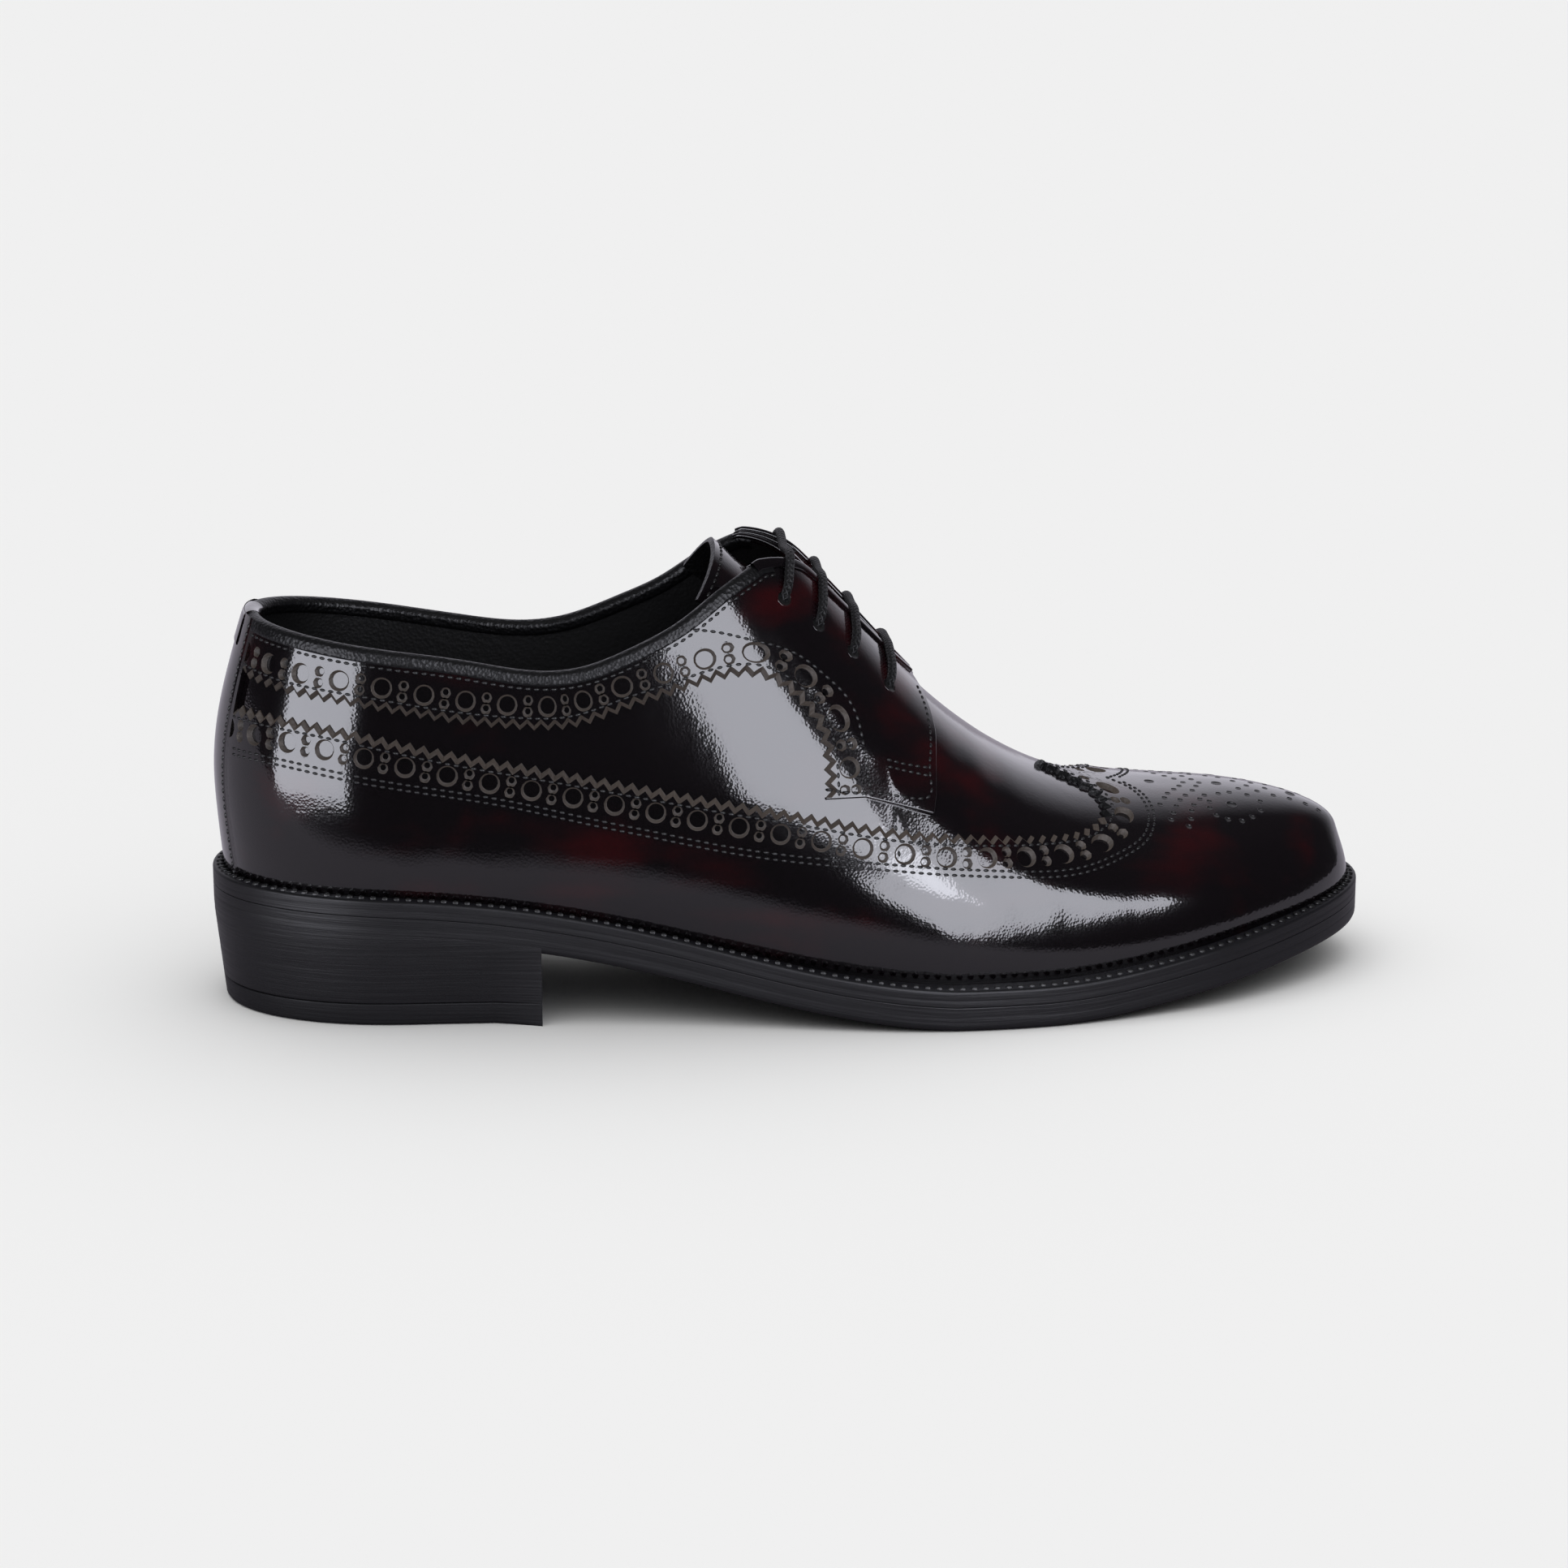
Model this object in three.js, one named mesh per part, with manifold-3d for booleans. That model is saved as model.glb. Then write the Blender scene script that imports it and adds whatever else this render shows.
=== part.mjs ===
// Long-wing brogue derby, right shoe. Millimetres, +Z up, +X toward the toe, +Y toward the inner side of the foot.
// The origin is the middle of the heel's flat underside, on the ground.

import * as THREE from "three";
import { mergeVertices } from "three/addons/utils/BufferGeometryUtils.js";
import Module from "manifold-3d";

const wasm = await Module();
wasm.setup();

// Length and height sizes
const SOLE_LENGTH = 306.5;
const BALL_WIDTH = 91;
const INSTEP_HEIGHT = 111;
const TOE_HEIGHT = 46;
const HEEL_HEIGHT = 24.5;
const TOE_SPRING = 11;
const COLLAR_BACK_HEIGHT = 103;
const COLLAR_DIP_HEIGHT = 93;
const COLLAR_FRONT_HEIGHT = 116.5;
const COLLAR_INNER_DROP = 2;

// Sole and heel sizes
const OUTSOLE_THICKNESS = 6.5;
const WELT_THICKNESS = 4.5;
const WELT_BEHIND_HEEL = 5;
const WELT_BEFORE_TOE = 4;
const WELT_AT_WAIST = 5;
const WELT_AT_BALL = 7;
const EDGE_BEVEL = 0.5;
const HEEL_LENGTH = 84;
const HEEL_BASE_WIDTH = 66;
const HEEL_SEAT_WIDTH = 71;
const TOP_LIFT_THICKNESS = 6;
const HEEL_CENTRE = 43;

// Leather thicknesses and fits
const UPPER_WALL = 2;
const OVERLAY_THICKNESS = 1.2;
const INSOLE_THICKNESS = 3.5;
const TONGUE_THICKNESS = 2.2;
const GAP = 0.3;
const BACK_STRIP_WIDTH = 26;

// Lace sizes
const LACE_DIAMETER = 2.4;
const LACE_HOLE_DIAMETER = 3.6;
const LACE_HOLE_SIDES = 8;
const LACE_STEPS = 12;
const LACE_SIDES = 8;
const LACE_CROWN = 0.8;

// End roundings: share of the upper's length, and power of the curve
const HEEL_ROUND = { share: 0.15, power: 2.15 };
const TOE_ROUND = { share: 0.185, power: 2.1 };
const TOE_TOP_ROUND = { share: 0.12, power: 2.4 };
const TOE_WALL_HEIGHT = 12;
const TOE_WALL_LEAN = 4.5;
const TUCK_HEIGHT = 9;

// Cross sections. at: share of the upper's length. outer, inner: half widths at the welt, middle: centre line,
// outerBulge, innerBulge: how far the wall stands out over the welt, all as shares of BALL_WIDTH.
// heel: share of HEEL_HEIGHT, toe: share of TOE_SPRING, instep and vamp: shares of INSTEP_HEIGHT and TOE_HEIGHT
// that add up to the top of the section. square: power of the section's curve.
const SECTIONS = [
  { at: 0.00, outer: 0.330, inner: 0.319, middle: 0.000, outerBulge: 0.016, innerBulge: 0.016,
    heel: 1.000, toe: 0.000, instep: 1.37, vamp: 0.00, square: 3.00 },
  { at: 0.12, outer: 0.346, inner: 0.324, middle: 0.000, outerBulge: 0.027, innerBulge: 0.027,
    heel: 0.960, toe: 0.000, instep: 1.35, vamp: 0.00, square: 2.60 },
  { at: 0.25, outer: 0.368, inner: 0.297, middle: 0.000, outerBulge: 0.033, innerBulge: 0.038,
    heel: 0.815, toe: 0.000, instep: 1.32, vamp: 0.00, square: 2.40 },
  { at: 0.38, outer: 0.418, inner: 0.280, middle: 0.000, outerBulge: 0.044, innerBulge: 0.066,
    heel: 0.510, toe: 0.000, instep: 1.24, vamp: 0.00, square: 2.30 },
  { at: 0.50, outer: 0.489, inner: 0.319, middle: 0.005, outerBulge: 0.038, innerBulge: 0.066,
    heel: 0.180, toe: 0.000, instep: 1.00, vamp: 0.00, square: 2.30 },
  { at: 0.62, outer: 0.538, inner: 0.418, middle: 0.016, outerBulge: 0.027, innerBulge: 0.033,
    heel: 0.000, toe: 0.000, instep: 0.60, vamp: 0.23, square: 2.30 },
  { at: 0.74, outer: 0.516, inner: 0.484, middle: 0.033, outerBulge: 0.022, innerBulge: 0.016,
    heel: 0.000, toe: 0.045, instep: 0.19, vamp: 0.70, square: 2.30 },
  { at: 0.86, outer: 0.434, inner: 0.473, middle: 0.055, outerBulge: 0.016, innerBulge: 0.011,
    heel: 0.000, toe: 0.455, instep: 0.00, vamp: 1.01, square: 2.25 },
  { at: 0.94, outer: 0.379, inner: 0.418, middle: 0.066, outerBulge: 0.011, innerBulge: 0.005,
    heel: 0.000, toe: 0.773, instep: 0.00, vamp: 0.98, square: 2.20 },
  { at: 1.00, outer: 0.352, inner: 0.385, middle: 0.066, outerBulge: 0.005, innerBulge: 0.005,
    heel: 0.000, toe: 1.000, instep: 0.00, vamp: 0.96, square: 2.20 },
];

// Back seam. height: share of COLLAR_BACK_HEIGHT, behind: distance from the welt's foot line, share of
// COLLAR_BACK_HEIGHT, positive toward the toe.
const BACK_SEAM = [
  { height: 0.19, behind: 0.019 },
  { height: 0.35, behind: 0.000 },
  { height: 0.49, behind: -0.012 },
  { height: 0.60, behind: -0.016 },
  { height: 0.73, behind: -0.002 },
  { height: 0.87, behind: 0.033 },
  { height: 1.05, behind: 0.089 },
  { height: 1.46, behind: 0.225 },
];

// Collar line. back, dip, front: shares of the three collar heights, drop: share of COLLAR_INNER_DROP.
const COLLAR = [
  { at: 0.000, back: 1.00, dip: 0.00, front: 0.00, drop: 0.0 },
  { at: 0.100, back: 0.60, dip: 0.40, front: 0.00, drop: 0.7 },
  { at: 0.200, back: 0.20, dip: 0.80, front: 0.00, drop: 1.0 },
  { at: 0.300, back: 0.00, dip: 0.98, front: 0.02, drop: 0.3 },
  { at: 0.345, back: 0.00, dip: 0.75, front: 0.25, drop: 0.3 },
  { at: 0.380, back: 0.00, dip: 0.50, front: 0.50, drop: 0.5 },
  { at: 0.410, back: 0.00, dip: 0.21, front: 0.79, drop: 0.3 },
  { at: 0.440, back: 0.00, dip: 0.00, front: 1.00, drop: 0.0 },
];

// Lace edge of the throat. up: share of the way from the collar's front corner to the centre line.
const THROAT = [
  { at: 0.440, up: 0.00 },
  { at: 0.468, up: 0.33 },
  { at: 0.485, up: 0.52 },
  { at: 0.512, up: 0.62 },
  { at: 0.545, up: 0.74 },
  { at: 0.575, up: 0.85 },
  { at: 0.605, up: 1.00 },
];
const COLLAR_END = COLLAR[COLLAR.length - 1].at;
const THROAT_END = THROAT[THROAT.length - 1].at;

// Upper edge of the long wing, from the back strip along the side to the peak on the centre line.
// at: share of the upper's length, up: share of the way from the welt to the centre line.
const WING_LINE = [
  { at: 0.00, up: 0.160 },
  { at: 0.05, up: 0.173 },
  { at: 0.10, up: 0.181 },
  { at: 0.18, up: 0.177 },
  { at: 0.28, up: 0.177 },
  { at: 0.37, up: 0.190 },
  { at: 0.44, up: 0.215 },
  { at: 0.51, up: 0.258 },
  { at: 0.58, up: 0.318 },
  { at: 0.67, up: 0.440 },
  { at: 0.721, up: 0.527 },
];

// Front of the wing, where the edge turns back to the peak
const WING_PEAK = [
  { at: 0.721, up: 0.527 },
  { at: 0.754, up: 0.598 },
  { at: 0.772, up: 0.685 },
  { at: 0.776, up: 0.777 },
  { at: 0.769, up: 0.880 },
  { at: 0.753, up: 0.940 },
  { at: 0.728, up: 1.000 },
];

// Lower edge of the collar band and facing, round the tab and up its front to the centre line
const FACING_LINE = [
  { at: 0.000, up: 0.200 },
  { at: 0.050, up: 0.203 },
  { at: 0.110, up: 0.213 },
  { at: 0.190, up: 0.215 },
  { at: 0.250, up: 0.222 },
  { at: 0.300, up: 0.242 },
  { at: 0.350, up: 0.297 },
  { at: 0.385, up: 0.343 },
  { at: 0.430, up: 0.417 },
  { at: 0.454, up: 0.450 },
  { at: 0.476, up: 0.463 },
  { at: 0.494, up: 0.458 },
  { at: 0.508, up: 0.440 },
  { at: 0.516, up: 0.400 },
  { at: 0.520, up: 0.302 },
  { at: 0.575, up: 0.372 },
  { at: 0.613, up: 0.410 },
  { at: 0.616, up: 0.470 },
  { at: 0.618, up: 0.588 },
  { at: 0.620, up: 0.703 },
  { at: 0.618, up: 0.792 },
  { at: 0.613, up: 0.900 },
  { at: 0.607, up: 1.000 },
];

// Lace holes, and the four bars between them
const LACE_HOLES = [
  { at: 0.469, up: 0.672 },
  { at: 0.504, up: 0.693 },
  { at: 0.539, up: 0.718 },
  { at: 0.576, up: 0.730 },
];

// Tongue. at: share of the upper's length on the centre line. dip: depth below the upper, half: half width,
// arch: depth of the bend across, shift: place of its middle across, all as shares of INSTEP_HEIGHT.
const TONGUE = [
  { at: 0.660, dip: 0.001, half: 0.170, arch: 0.060, shift: 0.000 },
  { at: 0.620, dip: 0.003, half: 0.170, arch: 0.075, shift: 0.000 },
  { at: 0.585, dip: 0.011, half: 0.175, arch: 0.085, shift: -0.004 },
  { at: 0.550, dip: 0.030, half: 0.180, arch: 0.092, shift: -0.010 },
  { at: 0.500, dip: 0.060, half: 0.185, arch: 0.100, shift: -0.020 },
  { at: 0.460, dip: 0.086, half: 0.190, arch: 0.108, shift: -0.028 },
  { at: 0.430, dip: 0.090, half: 0.190, arch: 0.110, shift: -0.032 },
];
const TONGUE_BEND = THREE.MathUtils.degToRad(70);
const TONGUE_STEPS = 12;
const TONGUE_ACROSS = 10;

// Mesh steps
const HEEL_STEPS = 8;
const SIDE_STEPS = 12;
const VAMP_STEPS = 6;
const TOE_STEPS = 8;
const RIB_STEPS = 10;
const RIB_CROWDING = 1.15;
const SOLE_STEPS = 36;
const HEEL_SLICES = 18;
const OUTLINE_STEPS = 240;

// Values worked out from the sizes
const EDGE_THICKNESS = OUTSOLE_THICKNESS + WELT_THICKNESS;
const UPPER_LENGTH = SOLE_LENGTH - WELT_BEHIND_HEEL - WELT_BEFORE_TOE;
const SEAT_HEIGHT = HEEL_HEIGHT + EDGE_THICKNESS;
const OUTER = -1;
const INNER = 1;

// A natural cubic spline through the rows of a table, from one named column to another.
function curve(rows, key, value) {
  const count = rows.length;
  const step = rows.slice(1).map((row, i) => row[key] - rows[i][key]);
  const rise = rows.slice(1).map((row, i) => row[value] - rows[i][value]);
  const diagonal = new Array(count).fill(1);
  const right = new Array(count).fill(0);
  const upper = new Array(count).fill(0);
  for (let i = 1; i < count - 1; i += 1) {
    const load = 6 * (rise[i] / step[i] - rise[i - 1] / step[i - 1]);
    const share = step[i - 1] / diagonal[i - 1];
    diagonal[i] = 2 * (step[i - 1] + step[i]) - share * upper[i - 1];
    upper[i] = step[i];
    right[i] = load - share * right[i - 1];
  }
  const bend = new Array(count).fill(0);
  for (let i = count - 2; i > 0; i -= 1) {
    bend[i] = (right[i] - upper[i] * bend[i + 1]) / diagonal[i];
  }
  return (x) => {
    let i = 0;
    while (i < count - 2 && x >= rows[i + 1][key]) {
      i += 1;
    }
    const done = x - rows[i][key];
    const left = step[i] - done;
    const cubic = (bend[i] * left ** 3 + bend[i + 1] * done ** 3) / (6 * step[i]);
    const start = (rows[i][value] / step[i] - (bend[i] * step[i]) / 6) * left;
    const end = (rows[i + 1][value] / step[i] - (bend[i + 1] * step[i]) / 6) * done;
    return cubic + start + end;
  };
}

function curves(rows, key, values) {
  return Object.fromEntries(values.map((value) => [value, curve(rows, key, value)]));
}

const section = curves(SECTIONS, "at", [
  "outer", "inner", "middle", "outerBulge", "innerBulge", "heel", "toe", "instep", "vamp", "square",
]);
const seam = curve(BACK_SEAM, "height", "behind");
const collar = curves(COLLAR, "at", ["back", "dip", "front", "drop"]);
const throat = curve(THROAT, "at", "up");
const tongue = curves([...TONGUE].reverse(), "at", ["dip", "half", "arch", "shift"]);

// Height of the outsole's underside over the ground
const BALL_AT = 0.62;
function groundLift(at) {
  const share = THREE.MathUtils.clamp(at, -0.03, 1.03);
  if (share < BALL_AT) {
    return HEEL_HEIGHT * Math.max(section.heel(share), 0);
  }
  return TOE_SPRING * Math.max(section.toe(share), 0);
}

function liftAtX(x) {
  return groundLift((x - WELT_BEHIND_HEEL) / UPPER_LENGTH);
}

function roundedEnd(distance, { share, power }) {
  const past = Math.max(1 - distance / share, 0);
  return (1 - past ** power) ** (1 / power);
}

function backSeamX(z) {
  return WELT_BEHIND_HEEL + COLLAR_BACK_HEIGHT * seam(z / COLLAR_BACK_HEIGHT);
}

function weltTop(at) {
  return EDGE_THICKNESS + groundLift(at);
}

function ridgeHeight(at) {
  const foot = weltTop(at) + TOE_WALL_HEIGHT;
  const crown = INSTEP_HEIGHT * section.instep(at) + TOE_HEIGHT * section.vamp(at);
  return foot + (crown - foot) * roundedEnd(1 - at, TOE_TOP_ROUND);
}

// The shape of the last. at runs from heel to toe and up from the welt to the centre line of the top.
function lastPoint(at, up, side) {
  const foot = weltTop(at);
  const square = section.square(at);
  const turn = (up * Math.PI) / 2;
  const rise = (ridgeHeight(at) - foot) * Math.sin(turn) ** (2 / square);
  const half = side === OUTER ? section.outer(at) : section.inner(at);
  const bulge = side === OUTER ? section.outerBulge(at) : section.innerBulge(at);
  const wide = half + bulge * (1 - Math.exp(-rise / TUCK_HEIGHT));
  const ends = roundedEnd(at, HEEL_ROUND) * roundedEnd(1 - at, TOE_ROUND);
  const across = Math.max(Math.cos(turn), 0) ** (2 / square);
  const toeLean = TOE_WALL_LEAN * (1 - Math.exp(-((rise / TOE_WALL_HEIGHT) ** 2)));
  const backX = backSeamX(foot + rise);
  const toeX = SOLE_LENGTH - WELT_BEFORE_TOE - toeLean;
  return new THREE.Vector3(
    backX + (toeX - backX) * at,
    BALL_WIDTH * (section.middle(at) + side * wide * ends * across),
    foot + rise,
  );
}

// The share of the way up a section at which it reaches a height
function shareAtHeight(at, height) {
  const foot = weltTop(at);
  const part = THREE.MathUtils.clamp((height - foot) / (ridgeHeight(at) - foot), 0, 1);
  return (Math.asin(part ** (section.square(at) / 2)) * 2) / Math.PI;
}

// The top of the upper's wall: collar, then lace edge, then the closed vamp
function topShare(at, side) {
  if (at >= THROAT_END) {
    return 1;
  }
  if (at > COLLAR_END) {
    const corner = shareAtHeight(COLLAR_END, COLLAR_FRONT_HEIGHT);
    return corner + (1 - corner) * THREE.MathUtils.clamp(throat(at), 0, 1);
  }
  const height = COLLAR_BACK_HEIGHT * collar.back(at) + COLLAR_DIP_HEIGHT * collar.dip(at)
    + COLLAR_FRONT_HEIGHT * collar.front(at);
  const drop = side === INNER ? COLLAR_INNER_DROP * collar.drop(at) : 0;
  return shareAtHeight(at, height - drop);
}

// Stations from heel to toe, closer together round the two ends
function stations() {
  const list = [];
  for (let i = 0; i < HEEL_STEPS; i += 1) {
    list.push(HEEL_ROUND.share * (1 - Math.cos((i / HEEL_STEPS) * (Math.PI / 2))));
  }
  for (let i = 0; i < SIDE_STEPS; i += 1) {
    list.push(THREE.MathUtils.lerp(HEEL_ROUND.share, THROAT_END, i / SIDE_STEPS));
  }
  for (let i = 0; i < VAMP_STEPS; i += 1) {
    list.push(THREE.MathUtils.lerp(THROAT_END, 1 - TOE_ROUND.share, i / VAMP_STEPS));
  }
  for (let i = 0; i <= TOE_STEPS; i += 1) {
    list.push(1 - TOE_ROUND.share * (1 - Math.sin((i / TOE_STEPS) * (Math.PI / 2))));
  }
  return list;
}

// Points and faces with shared points merged and flat faces dropped
function weldedSurface(points, faces) {
  const known = new Map();
  const kept = [];
  const place = points.map((point) => {
    const key = point.toArray().map((value) => Math.round(value * 1e4)).join(",");
    if (!known.has(key)) {
      known.set(key, kept.length);
      kept.push(point);
    }
    return known.get(key);
  });
  const triangles = [];
  for (const face of faces) {
    const corners = face.map((corner) => place[corner]).filter((corner, i, all) => corner !== all[(i + 1) % all.length]);
    for (let i = 1; i < corners.length - 1; i += 1) {
      triangles.push([corners[0], corners[i], corners[i + 1]]);
    }
  }
  return { points: kept, triangles: triangles.filter(([a, b, c]) => a !== b && b !== c && a !== c) };
}

function surfaceNormals({ points, triangles }) {
  const normals = points.map(() => new THREE.Vector3());
  for (const corners of triangles) {
    for (let i = 0; i < 3; i += 1) {
      const [here, next, last] = [corners[i], corners[(i + 1) % 3], corners[(i + 2) % 3]];
      const toNext = points[next].clone().sub(points[here]);
      const toLast = points[last].clone().sub(points[here]);
      const angle = toNext.angleTo(toLast);
      normals[here].addScaledVector(toNext.cross(toLast).normalize(), angle);
    }
  }
  return normals.map((normal) => normal.normalize());
}

function geometryOf({ points, triangles }) {
  const geometry = new THREE.BufferGeometry();
  geometry.setAttribute("position", new THREE.Float32BufferAttribute(points.flatMap((point) => point.toArray()), 3));
  geometry.setIndex(triangles.flat());
  return geometry;
}

// The closed body between two offsets of an open surface, with its rims walled
function thickened(surface, near, far) {
  const normals = surfaceNormals(surface);
  const count = surface.points.length;
  const offset = (distance) => surface.points.map((point, i) => point.clone().addScaledVector(normals[i], distance));
  const edges = new Map();
  for (const [a, b, c] of surface.triangles) {
    for (const [from, to] of [[a, b], [b, c], [c, a]]) {
      edges.set(`${from},${to}`, [from, to]);
    }
  }
  const rim = [...edges.values()].filter(([from, to]) => !edges.has(`${to},${from}`));
  const triangles = [
    ...surface.triangles,
    ...surface.triangles.map(([a, b, c]) => [c + count, b + count, a + count]),
    ...rim.flatMap(([from, to]) => [[to, from, from + count], [to, from + count, to + count]]),
  ];
  return geometryOf({ points: [...offset(far), ...offset(near)], triangles });
}

function upperSurface() {
  const list = stations();
  const points = [];
  const faces = [];
  for (const side of [OUTER, INNER]) {
    const first = points.length;
    for (const at of list) {
      const top = topShare(at, side);
      for (let j = 0; j <= RIB_STEPS; j += 1) {
        points.push(lastPoint(at, top * (j / RIB_STEPS) ** RIB_CROWDING, side));
      }
    }
    const row = RIB_STEPS + 1;
    for (let i = 0; i < list.length - 1; i += 1) {
      for (let j = 0; j < RIB_STEPS; j += 1) {
        const here = first + i * row + j;
        const face = [here, here + row, here + row + 1, here + 1];
        faces.push(side === OUTER ? face : face.reverse());
      }
    }
  }
  return weldedSurface(points, faces);
}

// Cutting and joining
function solidOf(geometry) {
  const bare = geometry.clone();
  bare.deleteAttribute("normal");
  bare.deleteAttribute("uv");
  const merged = mergeVertices(bare, 1e-4);
  return new wasm.Manifold(new wasm.Mesh({
    numProp: 3,
    vertProperties: Float32Array.from(merged.getAttribute("position").array),
    triVerts: Uint32Array.from(merged.getIndex().array),
  }));
}

function geometryOfSolid(solid) {
  const mesh = solid.getMesh();
  const geometry = new THREE.BufferGeometry();
  geometry.setAttribute("position", new THREE.BufferAttribute(mesh.vertProperties, 3));
  geometry.setIndex(new THREE.BufferAttribute(mesh.triVerts, 1));
  return geometry;
}

function extruded(corners, depth) {
  const shape = new THREE.Shape(corners.map(([x, y]) => new THREE.Vector2(x, y)));
  return new THREE.ExtrudeGeometry(shape, { depth, bevelEnabled: false });
}

// A prism whose outline is given in the side view, between two places across
function sidePrism(corners, from, to) {
  const prism = extruded(corners, to - from);
  prism.rotateX(Math.PI / 2);
  prism.translate(0, to, 0);
  return solidOf(prism);
}

// A prism whose outline is given in the plan view, standing between two heights
function planPrism(corners, from, to) {
  const prism = extruded(corners, to - from);
  prism.translate(0, 0, from);
  return solidOf(prism);
}

const REACH = 2 * BALL_WIDTH;
const CLEAR_TOP = 2 * INSTEP_HEIGHT;
const CENTRE_SPLIT = 0.8;

function stripZone(half) {
  return sidePrism([[-REACH, -REACH], [HEEL_CENTRE, -REACH], [HEEL_CENTRE, CLEAR_TOP], [-REACH, CLEAR_TOP]], -half, half);
}

function sideLine(rows) {
  return rows.map(({ at, up }) => lastPoint(at, up, OUTER)).map((point) => [point.x, point.z]);
}

// The long wing: what is left of the skin under the wing's edge, open in front of its peak
function wingSolid(skin) {
  const line = sideLine(WING_LINE);
  const [lastX] = line[line.length - 1];
  const above = sidePrism(
    [[-REACH, line[0][1]], ...line, [lastX, CLEAR_TOP], [-REACH, CLEAR_TOP]], -REACH, REACH,
  );
  const edge = (side) => WING_PEAK.map(({ at, up }) => lastPoint(at, up, side)).map((point) => [point.x, point.y]);
  const outerEdge = edge(OUTER);
  const innerEdge = edge(INNER).reverse().slice(1);
  const overlap = EDGE_THICKNESS;
  const front = planPrism([
    [outerEdge[0][0] - overlap, outerEdge[0][1]],
    ...outerEdge,
    ...innerEdge,
    [innerEdge[innerEdge.length - 1][0] - overlap, innerEdge[innerEdge.length - 1][1]],
  ], EDGE_THICKNESS, CLEAR_TOP);
  return skin.subtract(above).subtract(front).subtract(stripZone(BACK_STRIP_WIDTH / 2 + GAP));
}

// Collar band with facing and tab, one on each side of the foot
function facingSolid(skin, side) {
  const line = sideLine(FACING_LINE);
  const [lastX] = line[line.length - 1];
  const split = BALL_WIDTH * section.middle(THROAT_END);
  const from = side === OUTER ? -REACH : split + CENTRE_SPLIT / 2;
  const to = side === OUTER ? split - CENTRE_SPLIT / 2 : REACH;
  const keep = sidePrism([[-REACH, line[0][1]], ...line, [lastX, CLEAR_TOP], [-REACH, CLEAR_TOP]], from, to);
  return skin.intersect(keep).subtract(stripZone(BACK_STRIP_WIDTH / 2 + GAP));
}

// Straight plugs through the leather where the lace goes through
function laceHoles() {
  const depth = 4 * (UPPER_WALL + OVERLAY_THICKNESS);
  return LACE_HOLES.flatMap(({ at, up }) => [OUTER, INNER].map((side) => {
    const plug = new THREE.CylinderGeometry(LACE_HOLE_DIAMETER / 2, LACE_HOLE_DIAMETER / 2, depth, LACE_HOLE_SIDES);
    const turn = new THREE.Quaternion().setFromUnitVectors(new THREE.Vector3(0, 1, 0), lastNormal(at, up, side));
    const place = lastPoint(at, up, side);
    plug.applyQuaternion(turn);
    plug.translate(place.x, place.y, place.z);
    return solidOf(plug);
  }));
}

function lastNormal(at, up, side) {
  const step = 1e-3;
  const along = lastPoint(at + step, up, side).sub(lastPoint(at - step, up, side));
  const rising = lastPoint(at, Math.min(up + step, 1), side).sub(lastPoint(at, up - step, side));
  const normal = along.cross(rising).normalize();
  return side === OUTER ? normal : normal.negate();
}

// A bar of lace from above one hole, up over the facing's edge and straight across to the other side
function laceBar({ at, up }) {
  const height = GAP + OVERLAY_THICKNESS + GAP + LACE_DIAMETER / 2;
  const climb = (side) => [0, 0.35, 0.7, 1].map((part) => {
    const share = THREE.MathUtils.lerp(up, topShare(at, side), part);
    return lastPoint(at, share, side).addScaledVector(lastNormal(at, share, side), height);
  });
  const outer = climb(OUTER);
  const inner = climb(INNER).reverse();
  const middle = outer[outer.length - 1].clone().add(inner[0]).multiplyScalar(0.5);
  middle.z += LACE_CROWN;
  const route = [...outer, middle, ...inner];
  const path = new THREE.CatmullRomCurve3(route);
  const shape = new THREE.Shape();
  for (let i = 0; i < LACE_SIDES; i += 1) {
    const turn = (i / LACE_SIDES) * 2 * Math.PI;
    const corner = [Math.cos(turn) * (LACE_DIAMETER / 2), Math.sin(turn) * (LACE_DIAMETER / 2)];
    if (i === 0) {
      shape.moveTo(...corner);
    } else {
      shape.lineTo(...corner);
    }
  }
  return new THREE.ExtrudeGeometry(shape, { steps: LACE_STEPS, extrudePath: path, bevelEnabled: false });
}

// The tongue: an arched strip under the throat, from under the vamp to its free top
function tongueSurface() {
  const points = [];
  const faces = [];
  const from = TONGUE[TONGUE.length - 1].at;
  const to = TONGUE[0].at;
  for (let i = 0; i <= TONGUE_STEPS; i += 1) {
    const at = THREE.MathUtils.lerp(from, to, i / TONGUE_STEPS);
    const step = 1e-3;
    const slope = lastPoint(at + step, 1, OUTER).sub(lastPoint(at - step, 1, OUTER));
    const inward = new THREE.Vector3(slope.z, 0, -slope.x).normalize();
    const below = UPPER_WALL + GAP + INSTEP_HEIGHT * Math.max(tongue.dip(at), 0);
    const crest = lastPoint(at, 1, OUTER).addScaledVector(inward, below);
    for (let j = 0; j <= TONGUE_ACROSS; j += 1) {
      const turn = ((2 * j) / TONGUE_ACROSS - 1) * TONGUE_BEND;
      const across = (INSTEP_HEIGHT * tongue.half(at) * Math.sin(turn)) / Math.sin(TONGUE_BEND);
      const depth = (INSTEP_HEIGHT * tongue.arch(at) * (1 - Math.cos(turn))) / (1 - Math.cos(TONGUE_BEND));
      const point = crest.clone().addScaledVector(inward, depth);
      point.y += across + INSTEP_HEIGHT * tongue.shift(at);
      points.push(point);
    }
  }
  const row = TONGUE_ACROSS + 1;
  for (let i = 0; i < TONGUE_STEPS; i += 1) {
    for (let j = 0; j < TONGUE_ACROSS; j += 1) {
      const here = i * row + j;
      faces.push([here, here + row, here + row + 1, here + 1]);
    }
  }
  return weldedSurface(points, faces);
}

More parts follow.
